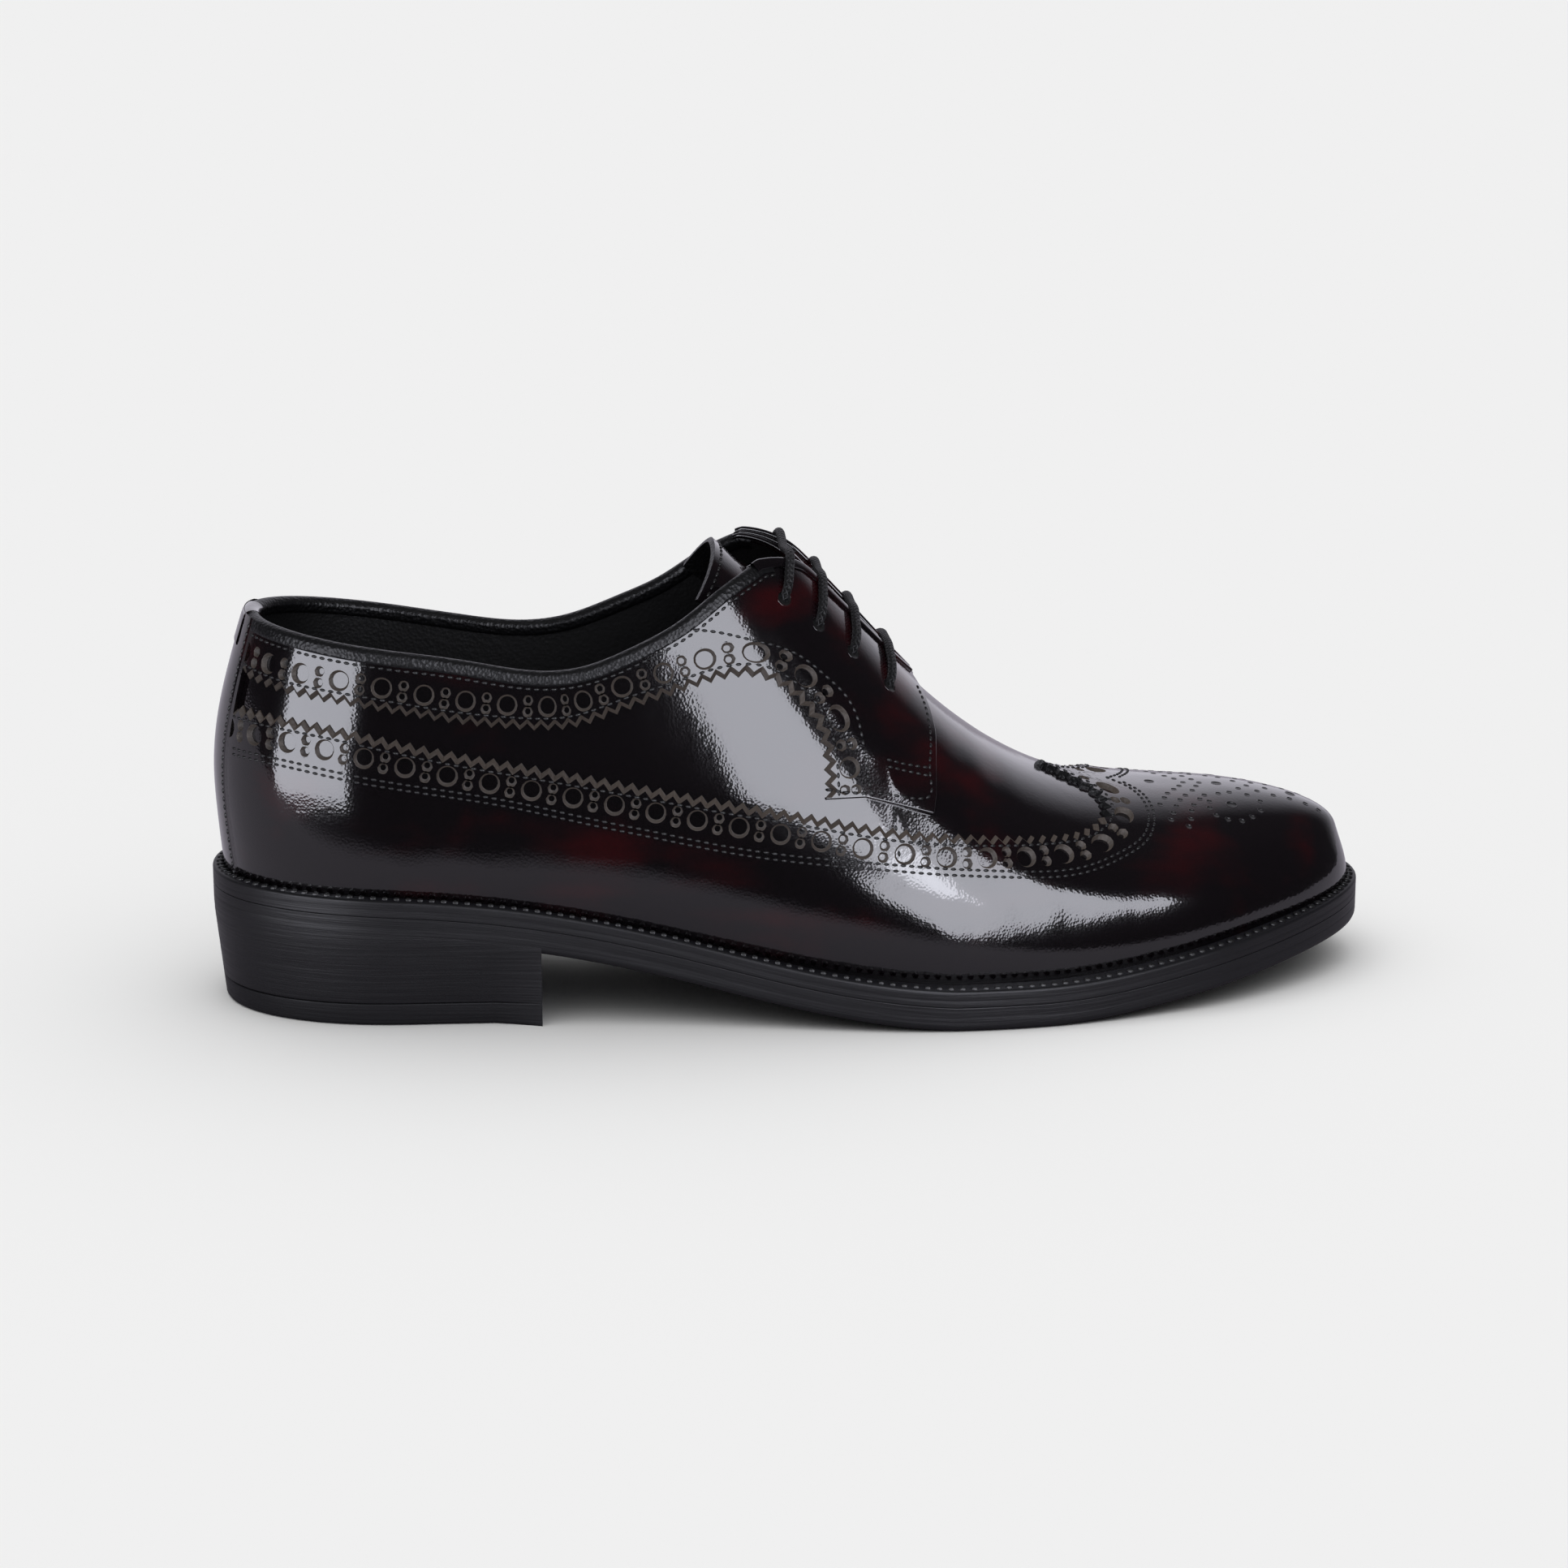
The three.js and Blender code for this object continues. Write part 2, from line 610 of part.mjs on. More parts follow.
// Plan outline at a distance outside the upper's foot line: one list of places for each side of the foot
const WELT_MARGINS = [
  { at: 0.00, margin: WELT_BEHIND_HEEL },
  { at: 0.15, margin: WELT_AT_WAIST },
  { at: 0.40, margin: WELT_AT_WAIST },
  { at: 0.60, margin: WELT_AT_BALL },
  { at: 0.80, margin: WELT_AT_BALL },
  { at: 0.92, margin: (WELT_AT_BALL + WELT_AT_WAIST) / 2 },
  { at: 1.00, margin: WELT_BEFORE_TOE },
];
const weltMargin = curve(WELT_MARGINS, "at", "margin");

function planOutline(distance) {
  const trace = (side) => {
    const foot = [];
    for (let i = 0; i <= OUTLINE_STEPS; i += 1) {
      foot.push(lastPoint((1 - Math.cos((i / OUTLINE_STEPS) * Math.PI)) / 2, 0, side));
    }
    return foot.map((point, i) => {
      const next = foot[Math.min(i + 1, OUTLINE_STEPS)];
      const last = foot[Math.max(i - 1, 0)];
      const along = i === 0 || i === OUTLINE_STEPS
        ? new THREE.Vector2(0, i === 0 ? side : -side)
        : new THREE.Vector2(next.x - last.x, next.y - last.y).normalize();
      const out = distance((1 - Math.cos((i / OUTLINE_STEPS) * Math.PI)) / 2);
      return [point.x - side * along.y * out, point.y + side * along.x * out];
    });
  };
  return { [OUTER]: trace(OUTER), [INNER]: trace(INNER) };
}

function widthAt(trace, x) {
  let i = 0;
  while (i < trace.length - 2 && x > trace[i + 1][0]) {
    i += 1;
  }
  const run = trace[i + 1][0] - trace[i][0];
  const part = THREE.MathUtils.clamp((x - trace[i][0]) / run, 0, 1);
  return THREE.MathUtils.lerp(trace[i][1], trace[i + 1][1], part);
}

// A plate in levels from bottom to top. Each level has its outline, its height over x and a narrowing.
// The plate ends at the outline's own front, or is cut square at endX.
function plateGeometry(levels, steps, endX = Infinity) {
  const points = [];
  const faces = [];
  const cut = Number.isFinite(endX);
  for (const { outline, height, narrow } of levels) {
    const start = outline[OUTER][0][0];
    const end = Math.min(outline[OUTER][outline[OUTER].length - 1][0], endX);
    for (let i = 0; i <= steps; i += 1) {
      const turn = cut ? (i / steps) * (Math.PI / 2) : (i / steps) * Math.PI;
      const part = cut ? 1 - Math.cos(turn) : (1 - Math.cos(turn)) / 2;
      const x = THREE.MathUtils.lerp(start, end, part);
      for (const side of [OUTER, INNER]) {
        const closed = i === 0 || (!cut && i === steps);
        const y = widthAt(outline[closed ? OUTER : side], x) * narrow;
        points.push(new THREE.Vector3(x, y, height(x)));
      }
    }
  }
  const ring = 2 * (steps + 1);
  const at = (level, i, side) => level * ring + 2 * i + (side === OUTER ? 0 : 1);
  const top = levels.length - 1;
  for (let i = 0; i < steps; i += 1) {
    const cap = (level) => [at(level, i, OUTER), at(level, i, INNER), at(level, i + 1, INNER), at(level, i + 1, OUTER)];
    faces.push(cap(0), cap(top).reverse());
    for (let level = 0; level < top; level += 1) {
      const wall = (side) => [at(level, i, side), at(level, i + 1, side), at(level + 1, i + 1, side), at(level + 1, i, side)];
      faces.push(wall(OUTER), wall(INNER).reverse());
    }
  }
  for (let level = 0; cut && level < top; level += 1) {
    faces.push([
      at(level, steps, OUTER), at(level, steps, INNER), at(level + 1, steps, INNER), at(level + 1, steps, OUTER),
    ]);
  }
  return geometryOf(weldedSurface(points, faces));
}

// Sole pieces
const soleEdge = planOutline((at) => weltMargin(at));
const bevelledEdge = planOutline((at) => weltMargin(at) - EDGE_BEVEL);

function soleLevel(rise, outline) {
  return { outline, height: (x) => liftAtX(x) + rise, narrow: 1 };
}

function outsoleGeometry() {
  return plateGeometry([
    soleLevel(0, bevelledEdge),
    soleLevel(EDGE_BEVEL, soleEdge),
    soleLevel(OUTSOLE_THICKNESS - EDGE_BEVEL, soleEdge),
    soleLevel(OUTSOLE_THICKNESS, bevelledEdge),
  ], SOLE_STEPS);
}

function weltGeometry() {
  return plateGeometry([
    soleLevel(OUTSOLE_THICKNESS + GAP, bevelledEdge),
    soleLevel(OUTSOLE_THICKNESS + GAP + EDGE_BEVEL, soleEdge),
    soleLevel(EDGE_THICKNESS - GAP - EDGE_BEVEL, soleEdge),
    soleLevel(EDGE_THICKNESS - GAP, bevelledEdge),
  ], SOLE_STEPS);
}

function footTrim() {
  const beyond = planOutline((at) => weltMargin(at) + WELT_AT_BALL);
  return plateGeometry([soleLevel(0, beyond), soleLevel(EDGE_THICKNESS, beyond)], SOLE_STEPS);
}

function insoleGeometry() {
  const inside = planOutline(() => -(1.25 * UPPER_WALL + GAP));
  return plateGeometry([
    soleLevel(EDGE_THICKNESS, inside),
    soleLevel(EDGE_THICKNESS + INSOLE_THICKNESS, inside),
  ], SOLE_STEPS);
}

// Heel pieces
function heelLevel(height, outline) {
  const base = HEEL_BASE_WIDTH / HEEL_SEAT_WIDTH;
  return { outline, height, narrow: 1 - (1 - base) * (1 - height(0) / HEEL_HEIGHT) };
}

function topLiftGeometry() {
  return plateGeometry([
    heelLevel(() => 0, bevelledEdge),
    heelLevel(() => EDGE_BEVEL, soleEdge),
    heelLevel(() => TOP_LIFT_THICKNESS, soleEdge),
  ], HEEL_SLICES, HEEL_LENGTH);
}

function heelStackGeometry() {
  return plateGeometry([
    heelLevel(() => TOP_LIFT_THICKNESS + GAP, soleEdge),
    heelLevel((x) => liftAtX(x) - GAP, soleEdge),
  ], HEEL_SLICES, HEEL_LENGTH);
}

// Materials
const polishedLeather = { color: 0x14090b, roughness: 0.12, metalness: 0 };
const soleLeather = { color: 0x111114, roughness: 0.45, metalness: 0 };
const liningLeather = { color: 0x0e0e10, roughness: 0.6, metalness: 0 };
const rubber = { color: 0x101012, roughness: 0.6, metalness: 0 };
const waxedCord = { color: 0x0b0b0d, roughness: 0.5, metalness: 0 };

function part(name, geometry, look) {
  const mesh = new THREE.Mesh(geometry, new THREE.MeshStandardMaterial(look));
  mesh.name = name;
  mesh.position.x = -HEEL_CENTRE;
  return mesh;
}

// The layer of leather over the upper, trimmed level with the upper's foot
const surface = upperSurface();
const skin = solidOf(thickened(surface, GAP, GAP + OVERLAY_THICKNESS)).subtract(solidOf(footTrim()));
const holes = laceHoles();
const pierced = (solid) => holes.reduce((rest, plug) => rest.subtract(plug), solid);
const upperBody = solidOf(thickened(surface, -UPPER_WALL, 0));
const stripBody = skin.intersect(stripZone(BACK_STRIP_WIDTH / 2));

const shoe = new THREE.Group();
shoe.add(part("top_lift", topLiftGeometry(), rubber));
shoe.add(part("heel_stack", heelStackGeometry(), soleLeather));
shoe.add(part("outsole", outsoleGeometry(), soleLeather));
shoe.add(part("welt_midsole", weltGeometry(), soleLeather));
shoe.add(part("insole", insoleGeometry(), liningLeather));
shoe.add(part("upper", geometryOfSolid(pierced(upperBody)), polishedLeather));
shoe.add(part("tongue", thickened(tongueSurface(), -TONGUE_THICKNESS, 0), polishedLeather));
shoe.add(part("wing_overlay", geometryOfSolid(wingSolid(skin)), polishedLeather));
shoe.add(part("facing_outer", geometryOfSolid(pierced(facingSolid(skin, OUTER))), polishedLeather));
shoe.add(part("facing_inner", geometryOfSolid(pierced(facingSolid(skin, INNER))), polishedLeather));
shoe.add(part("back_strip", geometryOfSolid(stripBody), polishedLeather));
LACE_HOLES.forEach((hole, i) => shoe.add(part(`lace_bar_${i + 1}`, laceBar(hole), waxedCord)));

export default shoe;
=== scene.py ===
"""Long-wing brogue derby: the right shoe of a pair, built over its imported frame."""
import math

import bpy
import numpy as np
from bpy.props import FloatProperty, FloatVectorProperty, PointerProperty
from mathutils import Matrix, Vector


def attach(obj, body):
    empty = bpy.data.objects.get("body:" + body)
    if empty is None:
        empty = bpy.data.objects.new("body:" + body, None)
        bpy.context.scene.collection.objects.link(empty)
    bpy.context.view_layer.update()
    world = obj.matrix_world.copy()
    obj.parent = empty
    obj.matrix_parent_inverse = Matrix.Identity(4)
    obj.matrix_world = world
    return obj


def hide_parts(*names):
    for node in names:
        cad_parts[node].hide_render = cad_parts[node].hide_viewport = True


bl_info = {
    "name": "Brogue shoe",
    "version": (1, 0, 0),
    "blender": (4, 5, 0),
    "location": "3D View > Sidebar > Shoe",
    "description": "Builds a long-wing brogue derby with punched bands, seams, laces and a leather sole",
    "category": "Object",
}

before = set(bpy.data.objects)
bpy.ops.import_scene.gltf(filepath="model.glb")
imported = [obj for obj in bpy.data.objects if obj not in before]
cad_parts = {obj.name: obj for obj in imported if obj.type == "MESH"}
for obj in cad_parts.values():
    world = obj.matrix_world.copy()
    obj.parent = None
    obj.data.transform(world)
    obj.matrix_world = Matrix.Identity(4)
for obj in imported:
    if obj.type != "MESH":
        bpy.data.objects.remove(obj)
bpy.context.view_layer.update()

# Sizes of the last and the sole, in millimetres from the back of the sole
MM = 0.001
HEEL_CENTRE = 43.0
SOLE_LENGTH = 306.5
BALL_WIDTH = 91.0
INSTEP_HEIGHT = 111.0
TOE_HEIGHT = 46.0
HEEL_HEIGHT = 24.5
TOE_SPRING = 11.0
COLLAR_BACK_HEIGHT = 103.0
COLLAR_DIP_HEIGHT = 93.0
COLLAR_FRONT_HEIGHT = 116.5
COLLAR_INNER_DROP = 2.0
OUTSOLE_THICKNESS = 6.5
EDGE_THICKNESS = 11.0
WELT_BEHIND_HEEL = 5.0
WELT_BEFORE_TOE = 4.0
WELT_AT_WAIST = 5.0
WELT_AT_BALL = 7.0
HEEL_LENGTH = 84.0
HEEL_BASE_WIDTH = 66.0
HEEL_SEAT_WIDTH = 71.0
TOP_LIFT_THICKNESS = 6.0
HEEL_LAP = 1.8
INSOLE_MARGIN = -2.4
INSOLE_THICKNESS = 3.5
UPPER_WALL = 2.0
OVERLAY = 1.5
FACING_DROP = 1.5
TONGUE_THICKNESS = 1.6
TONGUE_BEND = math.radians(70)
HEEL_ROUND = (0.15, 2.15)
TOE_ROUND = (0.185, 2.1)
TOE_TOP_ROUND = (0.12, 2.4)
TOE_WALL_HEIGHT = 12.0
TOE_WALL_LEAN = 4.5
TUCK_HEIGHT = 9.0
BALL_AT = 0.62
COLLAR_END, THROAT_END = 0.44, 0.605
OUTER, INNER = -1.0, 1.0
UPWARD, DOWNWARD, FORWARD = (0, 0, 1.0), (0, 0, -1.0), (1.0, 0, 0)

# Sections of the last: at, outer, inner, middle, outer bulge, inner bulge, heel, toe, instep, vamp, square
SECTIONS = np.array([
    (0.00, 0.330, 0.319, 0.000, 0.016, 0.016, 1.000, 0.000, 1.37, 0.00, 3.00),
    (0.12, 0.346, 0.324, 0.000, 0.027, 0.027, 0.960, 0.000, 1.35, 0.00, 2.60),
    (0.25, 0.368, 0.297, 0.000, 0.033, 0.038, 0.815, 0.000, 1.32, 0.00, 2.40),
    (0.38, 0.418, 0.280, 0.000, 0.044, 0.066, 0.510, 0.000, 1.24, 0.00, 2.30),
    (0.50, 0.489, 0.319, 0.005, 0.038, 0.066, 0.180, 0.000, 1.00, 0.00, 2.30),
    (0.62, 0.538, 0.418, 0.016, 0.027, 0.033, 0.000, 0.000, 0.60, 0.23, 2.30),
    (0.74, 0.516, 0.484, 0.033, 0.022, 0.016, 0.000, 0.045, 0.19, 0.70, 2.30),
    (0.86, 0.434, 0.473, 0.055, 0.016, 0.011, 0.000, 0.455, 0.00, 1.01, 2.25),
    (0.94, 0.379, 0.418, 0.066, 0.011, 0.005, 0.000, 0.773, 0.00, 0.98, 2.20),
    (1.00, 0.352, 0.385, 0.066, 0.005, 0.005, 0.000, 1.000, 0.00, 0.96, 2.20),
])
SECTION_NAMES = (
    "outer", "inner", "middle", "outer_bulge", "inner_bulge", "heel", "toe", "instep", "vamp", "square",
)
# Back seam: share of the collar's height, share of it as the distance forward
BACK_SEAM = np.array([
    (0.19, 0.019), (0.35, 0.000), (0.49, -0.012), (0.60, -0.016),
    (0.73, -0.002), (0.87, 0.033), (1.05, 0.089), (1.46, 0.225),
])
# Collar: at, then the shares of the back, dip and front heights, then the share of the inner drop
COLLAR = np.array([
    (0.000, 1.00, 0.00, 0.00, 0.0), (0.100, 0.60, 0.40, 0.00, 0.7), (0.200, 0.20, 0.80, 0.00, 1.0),
    (0.300, 0.00, 0.98, 0.02, 0.3), (0.345, 0.00, 0.75, 0.25, 0.3), (0.380, 0.00, 0.50, 0.50, 0.5),
    (0.410, 0.00, 0.21, 0.79, 0.3), (0.440, 0.00, 0.00, 1.00, 0.0),
])
# Throat: at, then the share of the way from the lace corner up to the centre line
THROAT = np.array([
    (0.440, 0.00), (0.468, 0.33), (0.485, 0.52), (0.512, 0.62), (0.545, 0.74), (0.575, 0.85), (0.605, 1.00),
])
WELT_MARGINS = np.array([
    (0.00, WELT_BEHIND_HEEL), (0.15, WELT_AT_WAIST), (0.40, WELT_AT_WAIST), (0.60, WELT_AT_BALL),
    (0.80, WELT_AT_BALL), (0.92, (WELT_AT_BALL + WELT_AT_WAIST) / 2), (1.00, WELT_BEFORE_TOE),
])
# Tongue: at, depth of its crest, half width, arch and sideways shift, as shares of the instep's height
TONGUE = np.array([
    (0.430, 0.090, 0.190, 0.110, -0.032), (0.460, 0.086, 0.190, 0.108, -0.028),
    (0.500, 0.060, 0.185, 0.100, -0.020), (0.550, 0.030, 0.180, 0.092, -0.010),
    (0.585, 0.011, 0.175, 0.085, -0.004), (0.620, 0.003, 0.170, 0.075, 0.0),
    (0.660, 0.001, 0.170, 0.060, 0.0),
])

# Pattern lines on the last, as places along it and shares of the way up to the centre line
WING_LINE = np.array([
    (0.004, 0.158), (0.05, 0.173), (0.10, 0.181), (0.18, 0.177), (0.28, 0.177), (0.37, 0.190),
    (0.44, 0.215), (0.51, 0.258), (0.58, 0.318), (0.67, 0.440), (0.721, 0.527), (0.754, 0.598),
    (0.772, 0.685), (0.776, 0.777), (0.769, 0.880), (0.753, 0.940), (0.728, 1.000),
])
WING_ROW = np.array([
    (0.015, 0.107), (0.055, 0.118), (0.105, 0.122), (0.164, 0.122), (0.256, 0.122), (0.324, 0.122),
    (0.367, 0.127), (0.435, 0.142), (0.504, 0.175), (0.575, 0.228), (0.662, 0.307), (0.705, 0.350),
    (0.751, 0.408), (0.785, 0.485), (0.810, 0.580), (0.819, 0.705), (0.818, 0.835), (0.807, 0.950),
    (0.795, 1.0),
])
FACING_LINE = np.array([
    (0.004, 0.200), (0.05, 0.203), (0.11, 0.213), (0.19, 0.215), (0.25, 0.222), (0.30, 0.242),
    (0.35, 0.297), (0.385, 0.343), (0.43, 0.417), (0.454, 0.450), (0.476, 0.463), (0.494, 0.458),
    (0.508, 0.440), (0.516, 0.400), (0.519, 0.352), (0.520, 0.302),
])
FACING_FRONT = np.array([
    (0.613, 0.900), (0.618, 0.792), (0.620, 0.703), (0.618, 0.588), (0.616, 0.470), (0.613, 0.410),
])
FACING_ROW = np.array([
    (0.385, 0.460), (0.414, 0.487), (0.449, 0.520), (0.470, 0.545), (0.494, 0.565), (0.515, 0.568),
    (0.534, 0.562), (0.545, 0.532), (0.552, 0.468), (0.556, 0.403), (0.559, 0.368),
])
FACING_SEAMS = [
    np.array([
        (0.523, 0.322), (0.536, 0.335), (0.573, 0.388), (0.600, 0.425), (0.610, 0.450), (0.612, 0.520),
        (0.6135, 0.600), (0.6145, 0.720), (0.6125, 0.800), (0.608, 0.880),
    ]),
    np.array([(0.575, 0.480), (0.592, 0.507), (0.608, 0.535)]),
    np.array([(0.576, 0.463), (0.592, 0.487), (0.608, 0.510)]),
]
VAMP_SEAM = np.array([(0.582, 0.260), (0.581, 0.300), (0.580, 0.360)])
LACE_HOLES = np.array([(0.469, 0.672), (0.504, 0.693), (0.539, 0.718), (0.576, 0.730)])

# Medallion punched in the toe, as places along the last and shares of the way up
MEDALLION_LARGE = np.array([(0.901, 0.76)])
MEDALLION_LARGE_CENTRE = np.array([(0.834, 1.0), (0.897, 1.0), (0.965, 1.0)])
MEDALLION_SMALL = np.array([
    (0.881, 0.795), (0.879, 0.738), (0.883, 0.677), (0.893, 0.640), (0.906, 0.620), (0.917, 0.647),
    (0.927, 0.700), (0.930, 0.795), (0.920, 0.865), (0.904, 0.888), (0.893, 0.873), (0.833, 0.780),
    (0.840, 0.838), (0.845, 0.880), (0.853, 0.922), (0.860, 0.960), (0.839, 0.667), (0.843, 0.713),
    (0.848, 0.765), (0.854, 0.818), (0.861, 0.860), (0.870, 0.910), (0.876, 0.960), (0.854, 0.615),
    (0.858, 0.665), (0.861, 0.723), (0.865, 0.770), (0.873, 0.820), (0.879, 0.858), (0.915, 0.945),
    (0.932, 0.930), (0.946, 0.895), (0.961, 0.885), (0.975, 0.858), (0.986, 0.807),
])
MEDALLION_SMALL_CENTRE = np.array([(0.866, 1.0), (0.881, 1.0), (0.925, 1.0), (0.942, 1.0)])
LARGE_DOT, SMALL_DOT, LACE_HOLE = 1.35, 0.72, 1.9
DOT_CORNERS = 16

# Where the finish is rubbed to red: distance from the back, height, half length, half height, strength
RUBBED = np.array([
    (150, 109, 9, 5, 0.9), (143, 104, 8, 6, 0.5), (163, 97, 7, 6, 0.6), (177, 82, 7, 9, 0.8),
    (184, 66, 8, 6, 0.5), (46, 98, 12, 5, 0.5), (72, 93, 14, 4, 0.5), (92, 82, 18, 4, 0.4),
    (70, 54, 20, 6, 0.8), (100, 49, 22, 5, 0.7), (128, 42, 20, 5, 0.6), (95, 36, 26, 3, 0.5),
    (140, 30, 24, 3, 0.6), (168, 28, 14, 4, 0.4), (204, 62, 9, 6, 0.5), (255, 42, 11, 6, 0.7),
    (236, 50, 10, 5, 0.35), (262, 33, 12, 5, 0.5), (288, 38, 7, 7, 0.6), (291, 28, 6, 6, 0.4),
    (20, 60, 7, 20, 0.35), (193, 42, 12, 4, 0.4), (215, 34, 14, 4, 0.3),
])
# Creases: place along, place up, length along, length up, turn in degrees, depth in millimetres
CREASES = np.array([
    (0.588, 0.50, 0.010, 0.060, 20.0, 0.40), (0.575, 0.47, 0.008, 0.055, 25.0, -0.25),
    (0.600, 0.55, 0.007, 0.070, 12.0, 0.22), (0.650, 0.62, 0.012, 0.200, 4.0, 0.20),
    (0.682, 0.66, 0.012, 0.220, -4.0, 0.16), (0.640, 0.16, 0.016, 0.050, -8.0, 0.12),
    (0.690, 0.19, 0.018, 0.060, -12.0, 0.10), (0.735, 0.22, 0.016, 0.060, -16.0, 0.10),
    (0.5785, 0.33, 0.0060, 0.035, 0.0, 0.10),
])

# Punched bands, in millimetres in from the tips of their teeth
COLUMNS_PER_TOOTH = 4
COLUMNS_PER_REPEAT = 12
BAND_ROWS = 12
TOOTH_DEPTH = 1.8
EDGE_SLOPE = 1.35
CUT_HEIGHTS = np.array([-0.1, 0.35, OVERLAY])
CELLS_FROM = 3.4
CELLS_TO = 9.2
BAND_WIDTH = 10.2
LARGE_CELL = 2 / 3
LIP = 0.3
SEAM_IN_BAND = 3.25
# From this share of the wing band's length on, the cut edge is painted dull black as painted shade
WING_SHADE_PAINTED_FROM = 0.885
# Wall of a punched hole: distance in from its edge, height, lean of its directions in degrees
HOLE_WALL = np.array([(0.0, OVERLAY, 30.0), (0.12, OVERLAY - 0.2, 55.0), (0.62, 0.05, 60.0)])
# Finish slots: leather top, cut edge, and cut edge painted black as painted shade
TOP, CUT, SHADE_PAINTED_CUT = 0, 1, 2

# Counts of rows and columns, and steps for the slopes as shares of the length
UPPER_ROWS, UPPER_COLUMNS = 190, 44
WING_ROWS, FACING_ROWS = 42, 30
STRIP_ROWS, STRIP_COLUMNS = 60, 33
TONGUE_ROWS, TONGUE_COLUMNS = 60, 49
COLLAR_PLACES, FACING_PLACES, LACE_EDGE_PLACES = 260, 300, 70
BAND_PLACES, SPLINE_PLACES = 400, 1200
SOLE_PLACES, HEEL_PLACES = 420, 170
PLATE_STRIPS, HEEL_STRIPS = 13, 9
LACE_RINGS, LACE_CORNERS = 90, 14
WELDS_PER_MM = 2000
SKIN_STEP, ROW_STEP = 2e-4, 1e-3

# Stitches, rolls and cords, in millimetres
STITCH_RISE = 0.36
WELT_STITCH = (1.9, 2.6, 0.55)
WELT_SEAM_INSET = 2.1
PLATE_REACH = -13.0
COLLAR_SEAM_DROP = 4.1
LACE_EDGE_ROLLS = ((1.55, 0.7), (0.2, 0.6), (-1.2, 0.75))
LIFT_GROOVES = (11.0, 15.2)

# Stage, in metres and degrees
PAPER = (0.871, 0.871, 0.871, 1)
SOFTBOX_GLOW = 5.5
SOFTBOX_TINT = (0.90, 0.91, 1.0)
SOFTBOXES = (  # name, place, turn, size, roll
    ("heel_softbox", (-0.86, -0.85, 0.16), 45.0, (0.92, 0.88), 0.0),
    ("quarter_softbox", (0.165, -0.33, 0.23), 0.0, (0.185, 0.34), 0.0),
    ("toe_softbox", (0.66, -0.90, 0.30), 0.0, (1.15, 0.25), 44.0),
)
TARGET = (0.1075, 0.0, 0.052)
CAMERA_TURN, CAMERA_HEIGHT = 6.0, 15.8


# Curves and the last's surface
def natural_curve(xs, ys):
    """Natural cubic spline through the points (xs, ys): the second slopes solve a three-banded system,
    and each stretch is the cubic that has them at its ends."""
    step = np.diff(xs)
    system, load = np.eye(len(xs)), np.zeros(len(xs))
    mid = np.arange(1, len(xs) - 1)
    system[mid, mid - 1], system[mid, mid + 1] = step[:-1], step[1:]
    system[mid, mid] = 2 * (step[:-1] + step[1:])
    load[mid] = 6 * np.diff(np.diff(ys) / step)
    bend = np.linalg.solve(system, load)

    def value(x):
        i = np.clip(np.searchsorted(xs, x, side="right") - 1, 0, len(xs) - 2)
        done, gap = x - xs[i], step[i]
        left = gap - done
        cubic = (bend[i] * left**3 + bend[i + 1] * done**3) / (6 * gap)
        start, end = ys[i] / gap - bend[i] * gap / 6, ys[i + 1] / gap - bend[i + 1] * gap / 6
        return cubic + start * left + end * done

    return value


def curves(table):
    """A natural curve for each column of a table, over its first column."""
    return [natural_curve(table[:, 0], column) for column in table.T[1:]]


SECTION = dict(zip(SECTION_NAMES, curves(SECTIONS)))
(SEAM,), (THROAT_SHARE,), (WELT_MARGIN,) = curves(BACK_SEAM), curves(THROAT), curves(WELT_MARGINS)
COLLAR_SHARE = curves(COLLAR)


def unit(vectors):
    """Vectors divided by their own lengths."""
    return vectors / np.maximum(np.linalg.norm(vectors, axis=-1, keepdims=True), 1e-12)


def ground_lift(at):
    """Height of the outsole's underside: the heel curve behind the ball, the toe curve in front of it."""
    share = np.clip(at, -0.03, 1.03)
    heel = HEEL_HEIGHT * np.maximum(SECTION["heel"](share), 0)
    return np.where(share < BALL_AT, heel, TOE_SPRING * np.maximum(SECTION["toe"](share), 0))


def lift_at_x(x):
    """The underside's height at a distance x from the back of the sole."""
    return ground_lift((x - WELT_BEHIND_HEEL) / (SOLE_LENGTH - WELT_BEHIND_HEEL - WELT_BEFORE_TOE))


def rounded_end(distance, shape):
    """Superellipse that rises from 0 at the end to 1 at the given share of the length."""
    share, power = shape
    past = np.clip(1 - distance / share, 0, 1)
    return np.maximum(1 - past**power, 0) ** (1 / power)


def ridge_height(at):
    """Height of the centre line: instep plus vamp curve, rounded down to the toe's front wall."""
    foot = EDGE_THICKNESS + ground_lift(at) + TOE_WALL_HEIGHT
    crown = INSTEP_HEIGHT * SECTION["instep"](at) + TOE_HEIGHT * SECTION["vamp"](at)
    return foot + (crown - foot) * rounded_end(1 - at, TOE_TOP_ROUND)


